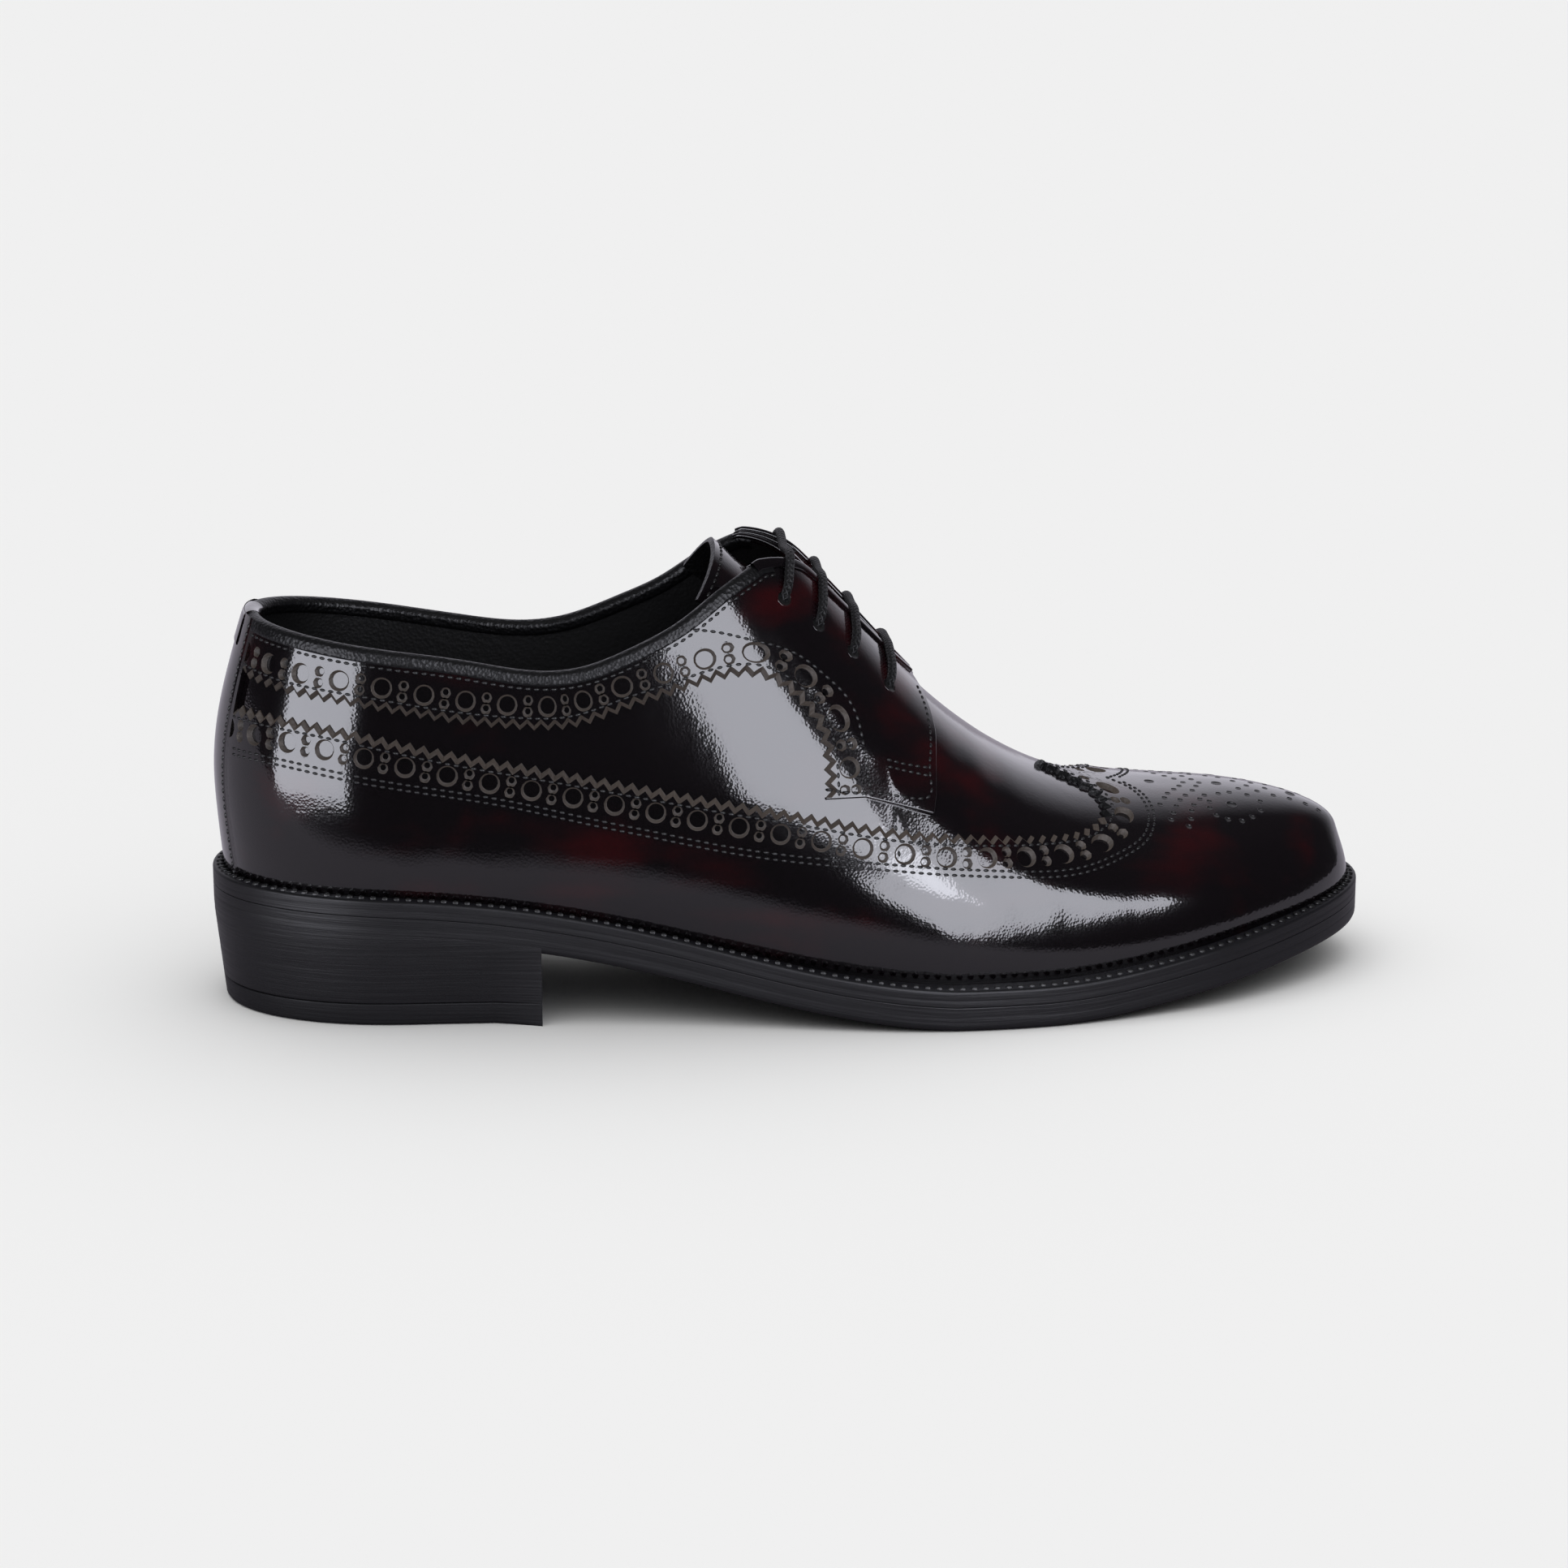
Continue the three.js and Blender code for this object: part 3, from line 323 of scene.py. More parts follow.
def last_point(at, up, side):
    """The last: at a share of its length the section is a superellipse quarter turned by up, from the welt to
    the centre line. Its half width bulges out above the welt, and its ends are the back seam and the toe."""
    at, up, side = np.broadcast_arrays(np.clip(at, 0, 1), np.clip(up, 0, 1), side)
    outer, turn, power = side < 0, up * math.pi / 2, 2 / SECTION["square"](at)
    foot = EDGE_THICKNESS + ground_lift(at)
    rise = (ridge_height(at) - foot) * np.sin(turn) ** power
    half = np.where(outer, SECTION["outer"](at), SECTION["inner"](at))
    bulge = np.where(outer, SECTION["outer_bulge"](at), SECTION["inner_bulge"](at))
    wide = half + bulge * (1 - np.exp(-rise / TUCK_HEIGHT))
    ends = rounded_end(at, HEEL_ROUND) * rounded_end(1 - at, TOE_ROUND)
    across = np.maximum(np.cos(turn), 0) ** power
    back = WELT_BEHIND_HEEL + COLLAR_BACK_HEIGHT * SEAM((foot + rise) / COLLAR_BACK_HEIGHT)
    front = SOLE_LENGTH - WELT_BEFORE_TOE - TOE_WALL_LEAN * (1 - np.exp(-((rise / TOE_WALL_HEIGHT) ** 2)))
    y = BALL_WIDTH * (SECTION["middle"](at) + side * wide * ends * across)
    return np.stack([back + (front - back) * at, y, foot + rise], -1)


def share_at_height(at, height):
    """How far up a section reaches a height."""
    foot = EDGE_THICKNESS + ground_lift(at)
    part = np.clip((height - foot) / (ridge_height(at) - foot), 0, 1)
    return np.arcsin(part ** (SECTION["square"](at) / 2)) * 2 / math.pi


def top_share(at, side):
    """Top of the leather: the collar line, then the lace edge, then the closed vamp."""
    back, dip, front, drop = (share(np.minimum(at, COLLAR_END)) for share in COLLAR_SHARE)
    height = COLLAR_BACK_HEIGHT * back + COLLAR_DIP_HEIGHT * dip + COLLAR_FRONT_HEIGHT * front
    height = height - COLLAR_INNER_DROP * drop * (side > 0)
    corner = share_at_height(COLLAR_END, COLLAR_FRONT_HEIGHT)
    throat = np.clip(THROAT_SHARE(np.clip(at, COLLAR_END, THROAT_END)), 0, 1)
    return np.where(at <= COLLAR_END, share_at_height(at, height), corner + (1 - corner) * throat)


def relief(at, up):
    """Soft troughs and ridges: each crease is a bell curve, long one way and short the other, added up."""
    total = np.zeros(np.broadcast(at, up).shape)
    for place, height, along, rise, turn, depth in CREASES:
        cos, sin = math.cos(math.radians(turn)), math.sin(math.radians(turn))
        x, y = (at - place) / along, (up - height) / rise
        total = total - depth * np.exp(-((cos * x + sin * y) ** 2) - (cos * y - sin * x) ** 2)
    return total


def rubbed(points):
    """How far the finish is rubbed at each point: bell curves over the length and the height, added up."""
    total = np.zeros(len(points))
    for x, z, long, high, strength in RUBBED:
        total += strength * np.exp(-(((points[:, 0] - x) / long) ** 2) - ((points[:, 2] - z) / high) ** 2)
    return np.clip(total, 0, 1)


def slopes(at, up, side, step):
    """The last's differences along and up over a small step either way, and the places they run between."""
    before, after, below, above = (np.clip(v, 0, 1) for v in (at - step, at + step, up - step, up + step))
    along = last_point(after, up, side) - last_point(before, up, side)
    rising = last_point(at, above, side) - last_point(at, below, side)
    return along, rising, before, after, below, above


def skin(at, up, side, height=0.0):
    """A point of the leather and its direction outwards: the last plus the creases plus a height, moved along
    the last's own normal. The normal is the cross product of the two slopes, creases included."""
    at, up, side = np.broadcast_arrays(np.asarray(at, float), np.asarray(up, float), side)
    along, rising, before, after, below, above = slopes(at, up, side, SKIN_STEP)
    bare = unit(np.cross(along, rising)) * -side[..., None]
    along = along + bare * (relief(after, up) - relief(before, up))[..., None]
    rising = rising + bare * (relief(at, above) - relief(at, below))[..., None]
    lift = np.broadcast_to(height + relief(at, up), at.shape)
    points = last_point(at, up, side) + bare * lift[..., None]
    return points, unit(np.cross(along, rising)) * -side[..., None]


# Stations along the last, closer together round the heel and the toe
MIDDLE_SLOPE = 1 + (HEEL_ROUND[0] + TOE_ROUND[0]) * (math.pi / 2 - 1)
HEEL_PART = HEEL_ROUND[0] * math.pi / 2 / MIDDLE_SLOPE
TOE_PART = TOE_ROUND[0] * math.pi / 2 / MIDDLE_SLOPE
EVEN = np.linspace(0, 1, 4001)


def station(t):
    """Share of the length from an even count t: a cosine at the heel, a line, then a sine at the toe."""
    heel = HEEL_ROUND[0] * (1 - np.cos(np.clip(t / HEEL_PART, 0, 1) * math.pi / 2))
    toe = 1 - TOE_ROUND[0] * (1 - np.cos(np.clip((1 - t) / TOE_PART, 0, 1) * math.pi / 2))
    middle = HEEL_ROUND[0] + (t - HEEL_PART) * MIDDLE_SLOPE
    return np.where(t < HEEL_PART, heel, np.where(t > 1 - TOE_PART, toe, middle))


def count_at(at):
    """The even count that a share of the length has: station() read backwards."""
    return np.interp(at, station(EVEN), EVEN)


def run_along(points):
    """Length run along a line of points."""
    return np.concatenate([[0], np.cumsum(np.linalg.norm(np.diff(points, axis=0), axis=1))])


def resampled(values, run, even):
    """Each column of values, read at other places along their run."""
    return np.stack([np.interp(even, run, column) for column in values.T], -1)


def smooth_line(rows, side, count=0, spacing=None, height=OVERLAY):
    """A smooth line through control places on the last, sampled at equal distances: a cubic spline over the
    chord lengths, then an even spread of its measured length. Returns the places and the length."""
    chord = run_along(last_point(rows[:, 0], rows[:, 1], side))
    fine = np.linspace(0, chord[-1], SPLINE_PLACES)
    at, up = natural_curve(chord, rows[:, 0])(fine), np.clip(natural_curve(chord, rows[:, 1])(fine), 0, 1)
    run = run_along(skin(at, up, side, height)[0])
    if spacing:
        count = max(int(round(run[-1] / spacing)), 1) + 1
    even = np.linspace(0, run[-1], count)
    return np.interp(even, run, at), np.interp(even, run, up), run[-1]


def parallel_rows(at, up, side, turn, widths):
    """Lines parallel to a line on the last, at the given distances. Each step moves the places across it: the
    sideways direction is the normal crossed with the line's own, solved for its parts along and up."""
    rows = [(at, up)]
    for step in np.diff(widths):
        point, normal = skin(at, up, side, OVERLAY)
        inward = unit(np.cross(normal, unit(np.gradient(point, axis=0)))) * turn
        along, rising, before, after, below, above = slopes(at, up, side, ROW_STEP)
        along, rising = along / (after - before)[:, None], rising / (above - below)[:, None]
        aa, bb, ab = (along**2).sum(1), (rising**2).sum(1), (along * rising).sum(1)
        pa, pb = (along * inward).sum(1), (rising * inward).sum(1)
        whole = np.maximum(aa * bb - ab**2, 1e-9)
        at = np.clip(at + step * (bb * pa - ab * pb) / whole, 0.001, 1)
        up = np.clip(up + step * (aa * pb - ab * pa) / whole, 0, 1)
        rows.append((at, up))
    return np.array([row[0] for row in rows]), np.array([row[1] for row in rows])


def between(first, last, rows):
    """Grid of places between two lines on the last, evenly spread in the station count."""
    share = np.linspace(0, 1, rows)[:, None]
    start, end = count_at(first[0]), count_at(last[0])
    return station(start + (end - start) * share), first[1] + (last[1] - first[1]) * share


# Patches of surface and the pieces joined from them
def grid_faces(rows, columns, wrap_rows=False, wrap_columns=False):
    """Two triangles for each cell of a rows by columns grid, closed round where asked."""
    i = np.arange(rows if wrap_rows else rows - 1)
    j = np.arange(columns if wrap_columns else columns - 1)
    i, j = (a.ravel() for a in np.meshgrid(i, j, indexing="ij"))
    i1, j1 = (i + 1) % rows, (j + 1) % columns
    a, b, c, d = i * columns + j, i1 * columns + j, i1 * columns + j1, i * columns + j1
    return np.concatenate([np.stack([a, b, c], -1), np.stack([a, c, d], -1)])


def repeated(faces, copies, size):
    """The triangles of equal copies of a mesh, each with its own stretch of points."""
    return (faces[None] + (np.arange(copies) * size)[:, None, None]).reshape(-1, 3)


def face_ways(points, faces):
    """Each triangle's cross product."""
    first = points[faces[:, 0]]
    return np.cross(points[faces[:, 1]] - first, points[faces[:, 2]] - first)


def patch(points, faces, normals=None, finish=0, across=None, flat=False, facing=None):
    """Points, triangles, directions, finish and pattern coordinates of one stretch of surface. Triangles turn
    to agree with the directions, or with those of facing. Without directions, and on a flat patch, which has
    one for each triangle, they are the sums of the triangles' cross products."""
    points = np.asarray(points, float).reshape(-1, 3)
    across = np.zeros((len(points), 2)) if across is None else np.asarray(across, float).reshape(-1, 2)
    if normals is not None:
        normals = np.asarray(normals, float).reshape(-1, 3)
        facing = normals[faces[:, 0]] if facing is None else facing
        if np.sum(face_ways(points, faces) * facing) < 0:
            faces = faces[:, ::-1]
    if flat:
        points, across = points[faces].reshape(-1, 3), across[faces].reshape(-1, 2)
        faces = np.arange(faces.size).reshape(-1, 3)
    if flat or normals is None:
        total = np.zeros_like(points)
        for corner in range(3):
            np.add.at(total, faces[:, corner], face_ways(points, faces))
        normals = unit(total)
    return points, faces, normals, finish, across


def grid_patch(points, normals=None, finish=0, across=None, wrap_rows=False, wrap_columns=False, flat=False):
    """A patch from points on a rows by columns grid."""
    faces = grid_faces(*points.shape[:2], wrap_rows, wrap_columns)
    return patch(points, faces, normals, finish, across, flat)


def turned_out(piece, away):
    """The same patch with its faces and directions pointing away from a place."""
    points, faces, normals, finish, across = piece
    if np.sum(normals * (points - away)) < 0:
        return points, faces[:, ::-1], -normals, finish, across
    return piece


def sheet(a, b, way=None, count=2, pattern=None, finish=0):
    """Straight strips between two lines of points, with one direction for all where it is given, and the axes
    of the pattern where it matters."""
    share = np.linspace(0, 1, count)[None, :, None]
    points = a[:, None] * (1 - share) + b[:, None] * share
    ways = None if way is None else np.broadcast_to(way, points.shape)
    return grid_patch(points, ways, finish, None if pattern is None else points[..., pattern])


def make_piece(name, patches, finishes, replaced=()):
    """Joins patches into one mesh in metres. Points in the same place become one, triangles without area go,
    and each corner keeps its patch's own direction. The piece rides on the shoe."""
    counts = np.cumsum([0] + [len(p[0]) for p in patches])
    points, normals, across = (np.concatenate([p[part] for p in patches]) for part in (0, 2, 4))
    faces = np.concatenate([p[1] + first for p, first in zip(patches, counts)])
    index = np.concatenate([np.full(len(p[1]), p[3]) for p in patches])
    keys = np.round(points * WELDS_PER_MM).astype(np.int64)
    _, first, place = np.unique(keys, axis=0, return_index=True, return_inverse=True)
    welded = place.ravel()[faces]
    real = (welded != np.roll(welded, 1, 1)).all(1)
    faces, welded, index = faces[real], welded[real], index[real]
    corners = faces.ravel()
    kept = points[first] * MM
    kept[:, 0] -= HEEL_CENTRE * MM
    mesh = bpy.data.meshes.new(name)
    mesh.vertices.add(len(kept))
    mesh.vertices.foreach_set("co", kept.astype(np.float32).ravel())
    mesh.loops.add(len(corners))
    mesh.loops.foreach_set("vertex_index", welded.ravel().astype(np.int32))
    mesh.polygons.add(len(welded))
    mesh.polygons.foreach_set("loop_start", np.arange(0, len(corners), 3, dtype=np.int32))
    mesh.polygons.foreach_set("material_index", index.astype(np.int32))
    mesh.polygons.foreach_set("use_smooth", np.ones(len(welded), bool))
    mesh.update(calc_edges=True)
    pattern = mesh.uv_layers.new(name="pattern")
    pattern.data.foreach_set("uv", (across[corners] * MM).astype(np.float32).ravel())
    wear = mesh.attributes.new("rubbed", "FLOAT", "POINT")
    wear.data.foreach_set("value", rubbed(points[first]).astype(np.float32))
    mesh.normals_split_custom_set(unit(normals[corners]).astype(np.float32))
    for look in finishes:
        mesh.materials.append(finish(look))
    piece = bpy.data.objects.new(name, mesh)
    bpy.context.scene.collection.objects.link(piece)
    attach(piece, "root")
    if replaced:
        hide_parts(*replaced)


# Punched bands
def look_up(table, row, column):
    """A table read between its rows and columns in proportion."""
    row, column = np.clip(row, 0, table.shape[0] - 1.001), np.clip(column, 0, table.shape[1] - 1.001)
    i, j = row.astype(int), column.astype(int)
    a, b = row - i, column - j
    return (
        table[i, j] * (1 - a) * (1 - b) + table[i + 1, j] * a * (1 - b)
        + table[i, j + 1] * (1 - a) * b + table[i + 1, j + 1] * a * b
    )


class Band:
    """A punched, pinked band along an edge of the overlay leather."""

    def __init__(self, rows, side, turn, pitch, shade_painted_from=1.0):
        self.side, self.shade_painted_from = side, shade_painted_from
        at, up, self.length = smooth_line(rows, side, BAND_PLACES)
        self.repeats = int(round(self.length / pitch))
        self.pitch = self.length / self.repeats
        self.step = BAND_WIDTH / BAND_ROWS
        widths = np.arange(0, BAND_WIDTH + 1e-6, self.step)
        self.rows_at, self.rows_up = parallel_rows(at, up, side, turn, widths)
        self.columns = np.arange(self.repeats * COLUMNS_PER_REPEAT + 1) * self.pitch / COLUMNS_PER_REPEAT

    def place(self, u, w):
        """Place on the last of distances u along the band and w across it."""
        column, row = u / self.length * (self.rows_at.shape[1] - 1), w / self.step
        return look_up(self.rows_at, row, column), look_up(self.rows_up, row, column)

    def skin(self, u, w, height=OVERLAY):
        """A point of the leather and its direction at distances u along the band and w across it."""
        at, up = self.place(u, w)
        return skin(at, up, self.side, height)

    def strip(self, w):
        """Plain leather over rows of distances w, with a column for each of the band's own."""
        u = np.broadcast_to(self.columns, w.shape)
        return grid_patch(*self.skin(u, w), TOP, np.stack([u, w], -1))

    def teeth(self):
        """The pinked edge: a zigzag between tip and valley, the leather's top behind it and the sloped cut
        before it, which from a share of the length on takes a dull black finish as painted shade."""
        wave = np.abs(np.arange(len(self.columns)) % COLUMNS_PER_TOOTH / (COLUMNS_PER_TOOTH / 2) - 1)
        low = (1 - wave) * TOOTH_DEPTH
        top = low + EDGE_SLOPE
        found = [self.strip(top + (CELLS_FROM - top) * np.linspace(0, 1, 4)[:, None])]
        w = np.stack([low, low, top])
        u = np.broadcast_to(self.columns, w.shape)
        points, normals = self.skin(u, w, CUT_HEIGHTS[:, None])
        across = np.stack([u, w], -1)
        # From here on the cut edge takes the black slot: painted shade
        shade_painted_start = int(self.shade_painted_from * (len(low) - 1))
        for part, finish in ((slice(0, shade_painted_start + 1), CUT), (slice(shade_painted_start, None), SHADE_PAINTED_CUT)):
            if len(low[part]) > 1:
                ways = normals[:, part]
                found.append(grid_patch(points[:, part], ways, finish, across[:, part], flat=True))
        return found

    def cell(self, u0, u1, w0, w1, columns, rows, radius, keep):
        """One punched hole in each repeat: rings that run from the cell's border, a rectangle, to the hole's
        circle, then down its sloped wall. Where it isn't kept, the rings close to a point."""
        across = np.concatenate([
            np.linspace(u0, u1, columns + 1)[:-1], np.full(rows, u1),
            np.linspace(u1, u0, columns + 1)[:-1], np.full(rows, u0),
        ])
        deep = np.concatenate([
            np.full(columns, w0), np.linspace(w0, w1, rows + 1)[:-1],
            np.full(columns, w1), np.linspace(w1, w0, rows + 1)[:-1],
        ])
        middle = np.array([(u0 + u1) / 2, (w0 + w1) / 2])
        angle = np.arctan2((deep - middle[1]) / (w1 - w0), (across - middle[0]) / (u1 - u0))
        border, way = np.stack([across, deep], -1), np.stack([np.cos(angle), np.sin(angle)], -1)
        lip = middle + way * (radius + LIP)
        found = []
        for kept, end in ((True, radius), (False, 1e-6)):
            chosen = np.flatnonzero(keep == kept)
            if len(chosen):
                plan = np.array([border, (border + lip) / 2, lip, middle + way * end])
                found.append(self.rings(plan, np.full(len(plan), OVERLAY), chosen))
                if kept:
                    plan = middle + way * (radius - HOLE_WALL[:, :1, None])
                    found.append(self.rings(plan, HOLE_WALL[:, 1], chosen, CUT, middle))
        return found

    def rings(self, plan, heights, chosen, finish=TOP, middle=None):
        """Rings of a hole laid on the band at each chosen repeat. Those of a wall lean in to its middle."""
        start = (chosen * self.pitch)[:, None, None]
        u = plan[None, :, :, 0] + start
        w = np.broadcast_to(plan[None, :, :, 1], u.shape)
        points, normals = self.skin(u, w, heights[None, :, None])
        if middle is not None:
            centre, _ = self.skin(middle[0] + start, np.full(start.shape, middle[1]))
            lean = np.radians(HOLE_WALL[:, 2])[None, :, None, None]
            normals = unit(normals * np.cos(lean) + unit(centre - points) * np.sin(lean))
        levels, count = plan.shape[:2]
        faces = repeated(grid_faces(levels, count, wrap_columns=True), len(chosen), levels * count)
        return patch(points, faces, normals, finish, np.stack([u, w], -1))

    def patches(self, holes, plain_end=0):
        """The whole band: teeth, a cell with a large hole and two with small ones in each repeat, and the
        strip behind. The last repeats can be left without holes."""
        keep = np.arange(self.repeats) < self.repeats - plain_end
        large, small = holes.large / 2 / MM, holes.small / 2 / MM
        wide, middle = self.pitch * LARGE_CELL, (CELLS_FROM + CELLS_TO) / 2
        found = self.teeth()
        found += self.cell(0, wide, CELLS_FROM, CELLS_TO, 8, 4, large, keep)
        found += self.cell(wide, self.pitch, CELLS_FROM, middle, 4, 2, small, keep)
        found += self.cell(wide, self.pitch, middle, CELLS_TO, 4, 2, small, keep)
        behind = np.array([CELLS_TO, BAND_WIDTH])[:, None]
        found.append(self.strip(np.broadcast_to(behind, (2, len(self.columns)))))
        return found

    def border(self):
        """Places of the band's inner border, at every column."""
        return self.place(self.columns, np.full(len(self.columns), BAND_WIDTH))


# Materials
def fill(tree, made, values):
    """Sets a node's inputs to values, or links them from sockets."""
    for key, value in values.items():
        if isinstance(value, bpy.types.NodeSocket):
            tree.links.new(value, made.inputs[key])
        else:
            made.inputs[key].default_value = value


def node(tree, kind, values=None, **settings):
    """A shader node with its settings, its inputs set or linked."""
    made = tree.nodes.new("ShaderNode" + kind)
    for key, value in settings.items():
        setattr(made, key, value)
    fill(tree, made, values or {})
    return made


def maths(tree, operation, *values):
    """The result of a Math node."""
    return node(tree, "Math", dict(enumerate(values)), operation=operation).outputs[0]


def mapped(tree, value, start, end, interpolation="LINEAR"):
    """A value mapped from one range to another."""
    ranges = {"From Min": start[0], "From Max": start[1], "To Min": end[0], "To Max": end[1]}
    made = node(tree, "MapRange", {"Value": value, **ranges}, interpolation_type=interpolation)
    return made.outputs["Result"]


def noise(tree, vector, scale, detail=2.0, roughness=0.5, distortion=0.0):
    """The height of a noise texture."""
    values = {"Vector": vector, "Scale": scale, "Detail": detail, "Roughness": roughness}
    return node(tree, "TexNoise", {**values, "Distortion": distortion}).outputs["Fac"]


def shaded(tree, colour, shade):
    """A colour multiplied by a shade."""
    values = {"Factor": 1.0, "A": (*colour, 1), "B": shade}
    return node(tree, "Mix", values, data_type="RGBA", blend_type="MULTIPLY").outputs["Result"]


def mixed(tree, share, first, second):
    """Two shaders mixed by a share of the second."""
    return node(tree, "MixShader", {"Fac": share, 1: first.outputs[0], 2: second.outputs[0]})


def shader_group(name, inputs, outputs):
    """An empty shader node group with named inputs and outputs."""
    group = bpy.data.node_groups.new(name, "ShaderNodeTree")
    for label, kind, default in inputs:
        socket = group.interface.new_socket(label, in_out="INPUT", socket_type="NodeSocket" + kind)
        socket.default_value = default
    for label, kind in outputs:
        group.interface.new_socket(label, in_out="OUTPUT", socket_type="NodeSocket" + kind)
    return group, group.nodes.new("NodeGroupInput").outputs, group.nodes.new("NodeGroupOutput")


def rub_off_group():
    """Cloudy dark red rubbed through a black finish, from two noises over the object."""
    group, given, end = shader_group(
        "rubbed_finish",
        [
            ("Vector", "Vector", (0, 0, 0)), ("Dark", "Color", (0, 0, 0, 1)),
            ("Red", "Color", (0.1, 0.01, 0.02, 1)), ("Amount", "Float", 0.5), ("Rubbed", "Float", 0.0),
        ],
        [("Color", "Color"), ("Mask", "Float")],
    )
    cloud = noise(group, given["Vector"], 30.0, 3.0, distortion=0.4)
    drawn_out = node(group, "Mapping", {"Vector": given["Vector"], "Scale": (0.16, 1.0, 1.2)})
    streak = noise(group, drawn_out.outputs["Vector"], 120.0, roughness=0.6)
    blend = maths(group, "MULTIPLY_ADD", streak, 0.35, cloud)
    worn = maths(group, "MULTIPLY_ADD", given["Rubbed"], 0.34, blend)
    spread = mapped(group, worn, (0.72, 1.08), (0.0, 1.0), "SMOOTHSTEP")
    amount = maths(group, "MULTIPLY", spread, given["Amount"])
    colours = {"Factor": amount, "A": given["Dark"], "B": given["Red"]}
    mix = node(group, "Mix", colours, data_type="RGBA")
    fill(group, end, {"Color": mix.outputs["Result"], "Mask": amount})
    return group


def grain_group():
    """Leather grain as a height: fine pores over a slow waviness."""
    if "leather_grain" in bpy.data.node_groups:
        return bpy.data.node_groups["leather_grain"]
    group, given, end = shader_group(
        "leather_grain",
        [
            ("Vector", "Vector", (0, 0, 0)), ("Pore Scale", "Float", 1500.0), ("Pores", "Float", 0.1),
            ("Wave Scale", "Float", 60.0), ("Waves", "Float", 1.0),
        ],
        [("Height", "Float")],
    )
    pore = node(group, "TexVoronoi", {"Vector": given["Vector"], "Scale": given["Pore Scale"]})
    pores = maths(group, "MULTIPLY", pore.outputs["Distance"], given["Pores"])
    waves = maths(group, "MULTIPLY", noise(group, given["Vector"], given["Wave Scale"]), given["Waves"])
    fill(group, end, {"Height": maths(group, "ADD", pores, waves)})
    return group


def new_material(name):
    """A material with an empty Principled shader, its tree, its shader and its coordinates."""
    material = bpy.data.materials.new(name)
    material.use_nodes = True
    tree = material.node_tree
    tree.nodes.clear()
    shader = node(tree, "BsdfPrincipled")
    node(tree, "OutputMaterial", {"Surface": shader.outputs["BSDF"]})
    return material, tree, shader, node(tree, "TexCoord").outputs


def bump(tree, height, strength, distance=0.0006):
    """The direction from a Bump node over a height."""
    made = node(tree, "Bump", {"Height": height, "Strength": strength, "Distance": distance})
    return made.outputs["Normal"]


def grain(tree, place, **amounts):
    """The height of the leather's grain."""
    made = node(tree, "Group", node_tree=grain_group())
    fill(tree, made, {"Vector": place["Object"], **{key.replace("_", " "): v for key, v in amounts.items()}})
    return made.outputs["Height"]


def polished_leather(name, dark, red, amount):
    """High-shine leather: a black finish with dark red rubbed through, fine pores and a slow waviness, all
    under a coat."""
    material, tree, shader, place = new_material(name)
    wear = node(tree, "Attribute", attribute_name="rubbed")
    colour = node(tree, "Group", node_tree=rub_off_group())
    fill(tree, colour, {
        "Vector": place["Object"], "Dark": (*dark, 1), "Red": (*red, 1), "Amount": amount,
        "Rubbed": wear.outputs["Fac"],
    })
    height = grain(tree, place, Pore_Scale=1400.0, Pores=0.06, Wave_Scale=55.0, Waves=1.0)
    normal = bump(tree, height, 0.35)
    fill(tree, shader, {
        "Base Color": colour.outputs["Color"], "Roughness": 0.12, "Specular IOR Level": 0.4,
        "Coat Weight": 1.0, "Coat Roughness": 0.03, "Normal": normal, "Coat Normal": normal,
    })
    return material


def plain_leather(name, colour, roughness, specular, pores):
    """Dull leather or a leather edge: a mottled colour with grain, or, without pores, with the streaks of a
    cut edge that run round the sole."""
    material, tree, shader, place = new_material(name)
    shade = mapped(tree, noise(tree, place["Object"], 90.0, 3.0), (0.0, 1.0), (0.7, 1.35))
    if pores is None:
        stretched = node(tree, "Mapping", {"Vector": place["UV"], "Scale": (25.0, 900.0, 1.0)})
        streaks = noise(tree, stretched.outputs["Vector"], 1.0, 4.0, 0.65)
        normal = bump(tree, streaks, 0.24)
        roughness = mapped(tree, streaks, (0.0, 1.0), (roughness - 0.12, roughness + 0.12))
    else:
        normal = bump(tree, grain(tree, place, Pore_Scale=1100.0, Pores=pores, Waves=0.3), 0.5)
    fill(tree, shader, {
        "Base Color": shaded(tree, colour, shade), "Roughness": roughness, "Specular IOR Level": specular,
        "Normal": normal,
    })
    return material


def braided_cord(name, colour):
    """Waxed round lace: two families of slanting strands that cross, from the cord's own coordinates. The
    colour follows the strands' height, darker in the grooves as painted shade and lighter on the tops as
    painted highlight.
    """
    material, tree, shader, place = new_material(name)
    cord = node(tree, "SeparateXYZ", {"Vector": place["UV"]}).outputs
    strands = []
    for slant in (3300.0, -3300.0):
        around = maths(tree, "MULTIPLY", cord["Y"], slant)
        strands.append(maths(tree, "SINE", maths(tree, "MULTIPLY_ADD", cord["X"], 3900.0, around)))
    top = maths(tree, "MAXIMUM", *strands)
    # Colour follows the strand height: darker in the grooves as painted shade, lighter on the tops as painted
    # highlight
    fill(tree, shader, {
        "Base Color": shaded(tree, colour, mapped(tree, top, (-1.0, 1.0), (0.5, 1.3))), "Roughness": 0.5,
        "Specular IOR Level": 0.35, "Normal": bump(tree, top, 1.0, 0.0004),
    })
    return material


FINISHES = {}


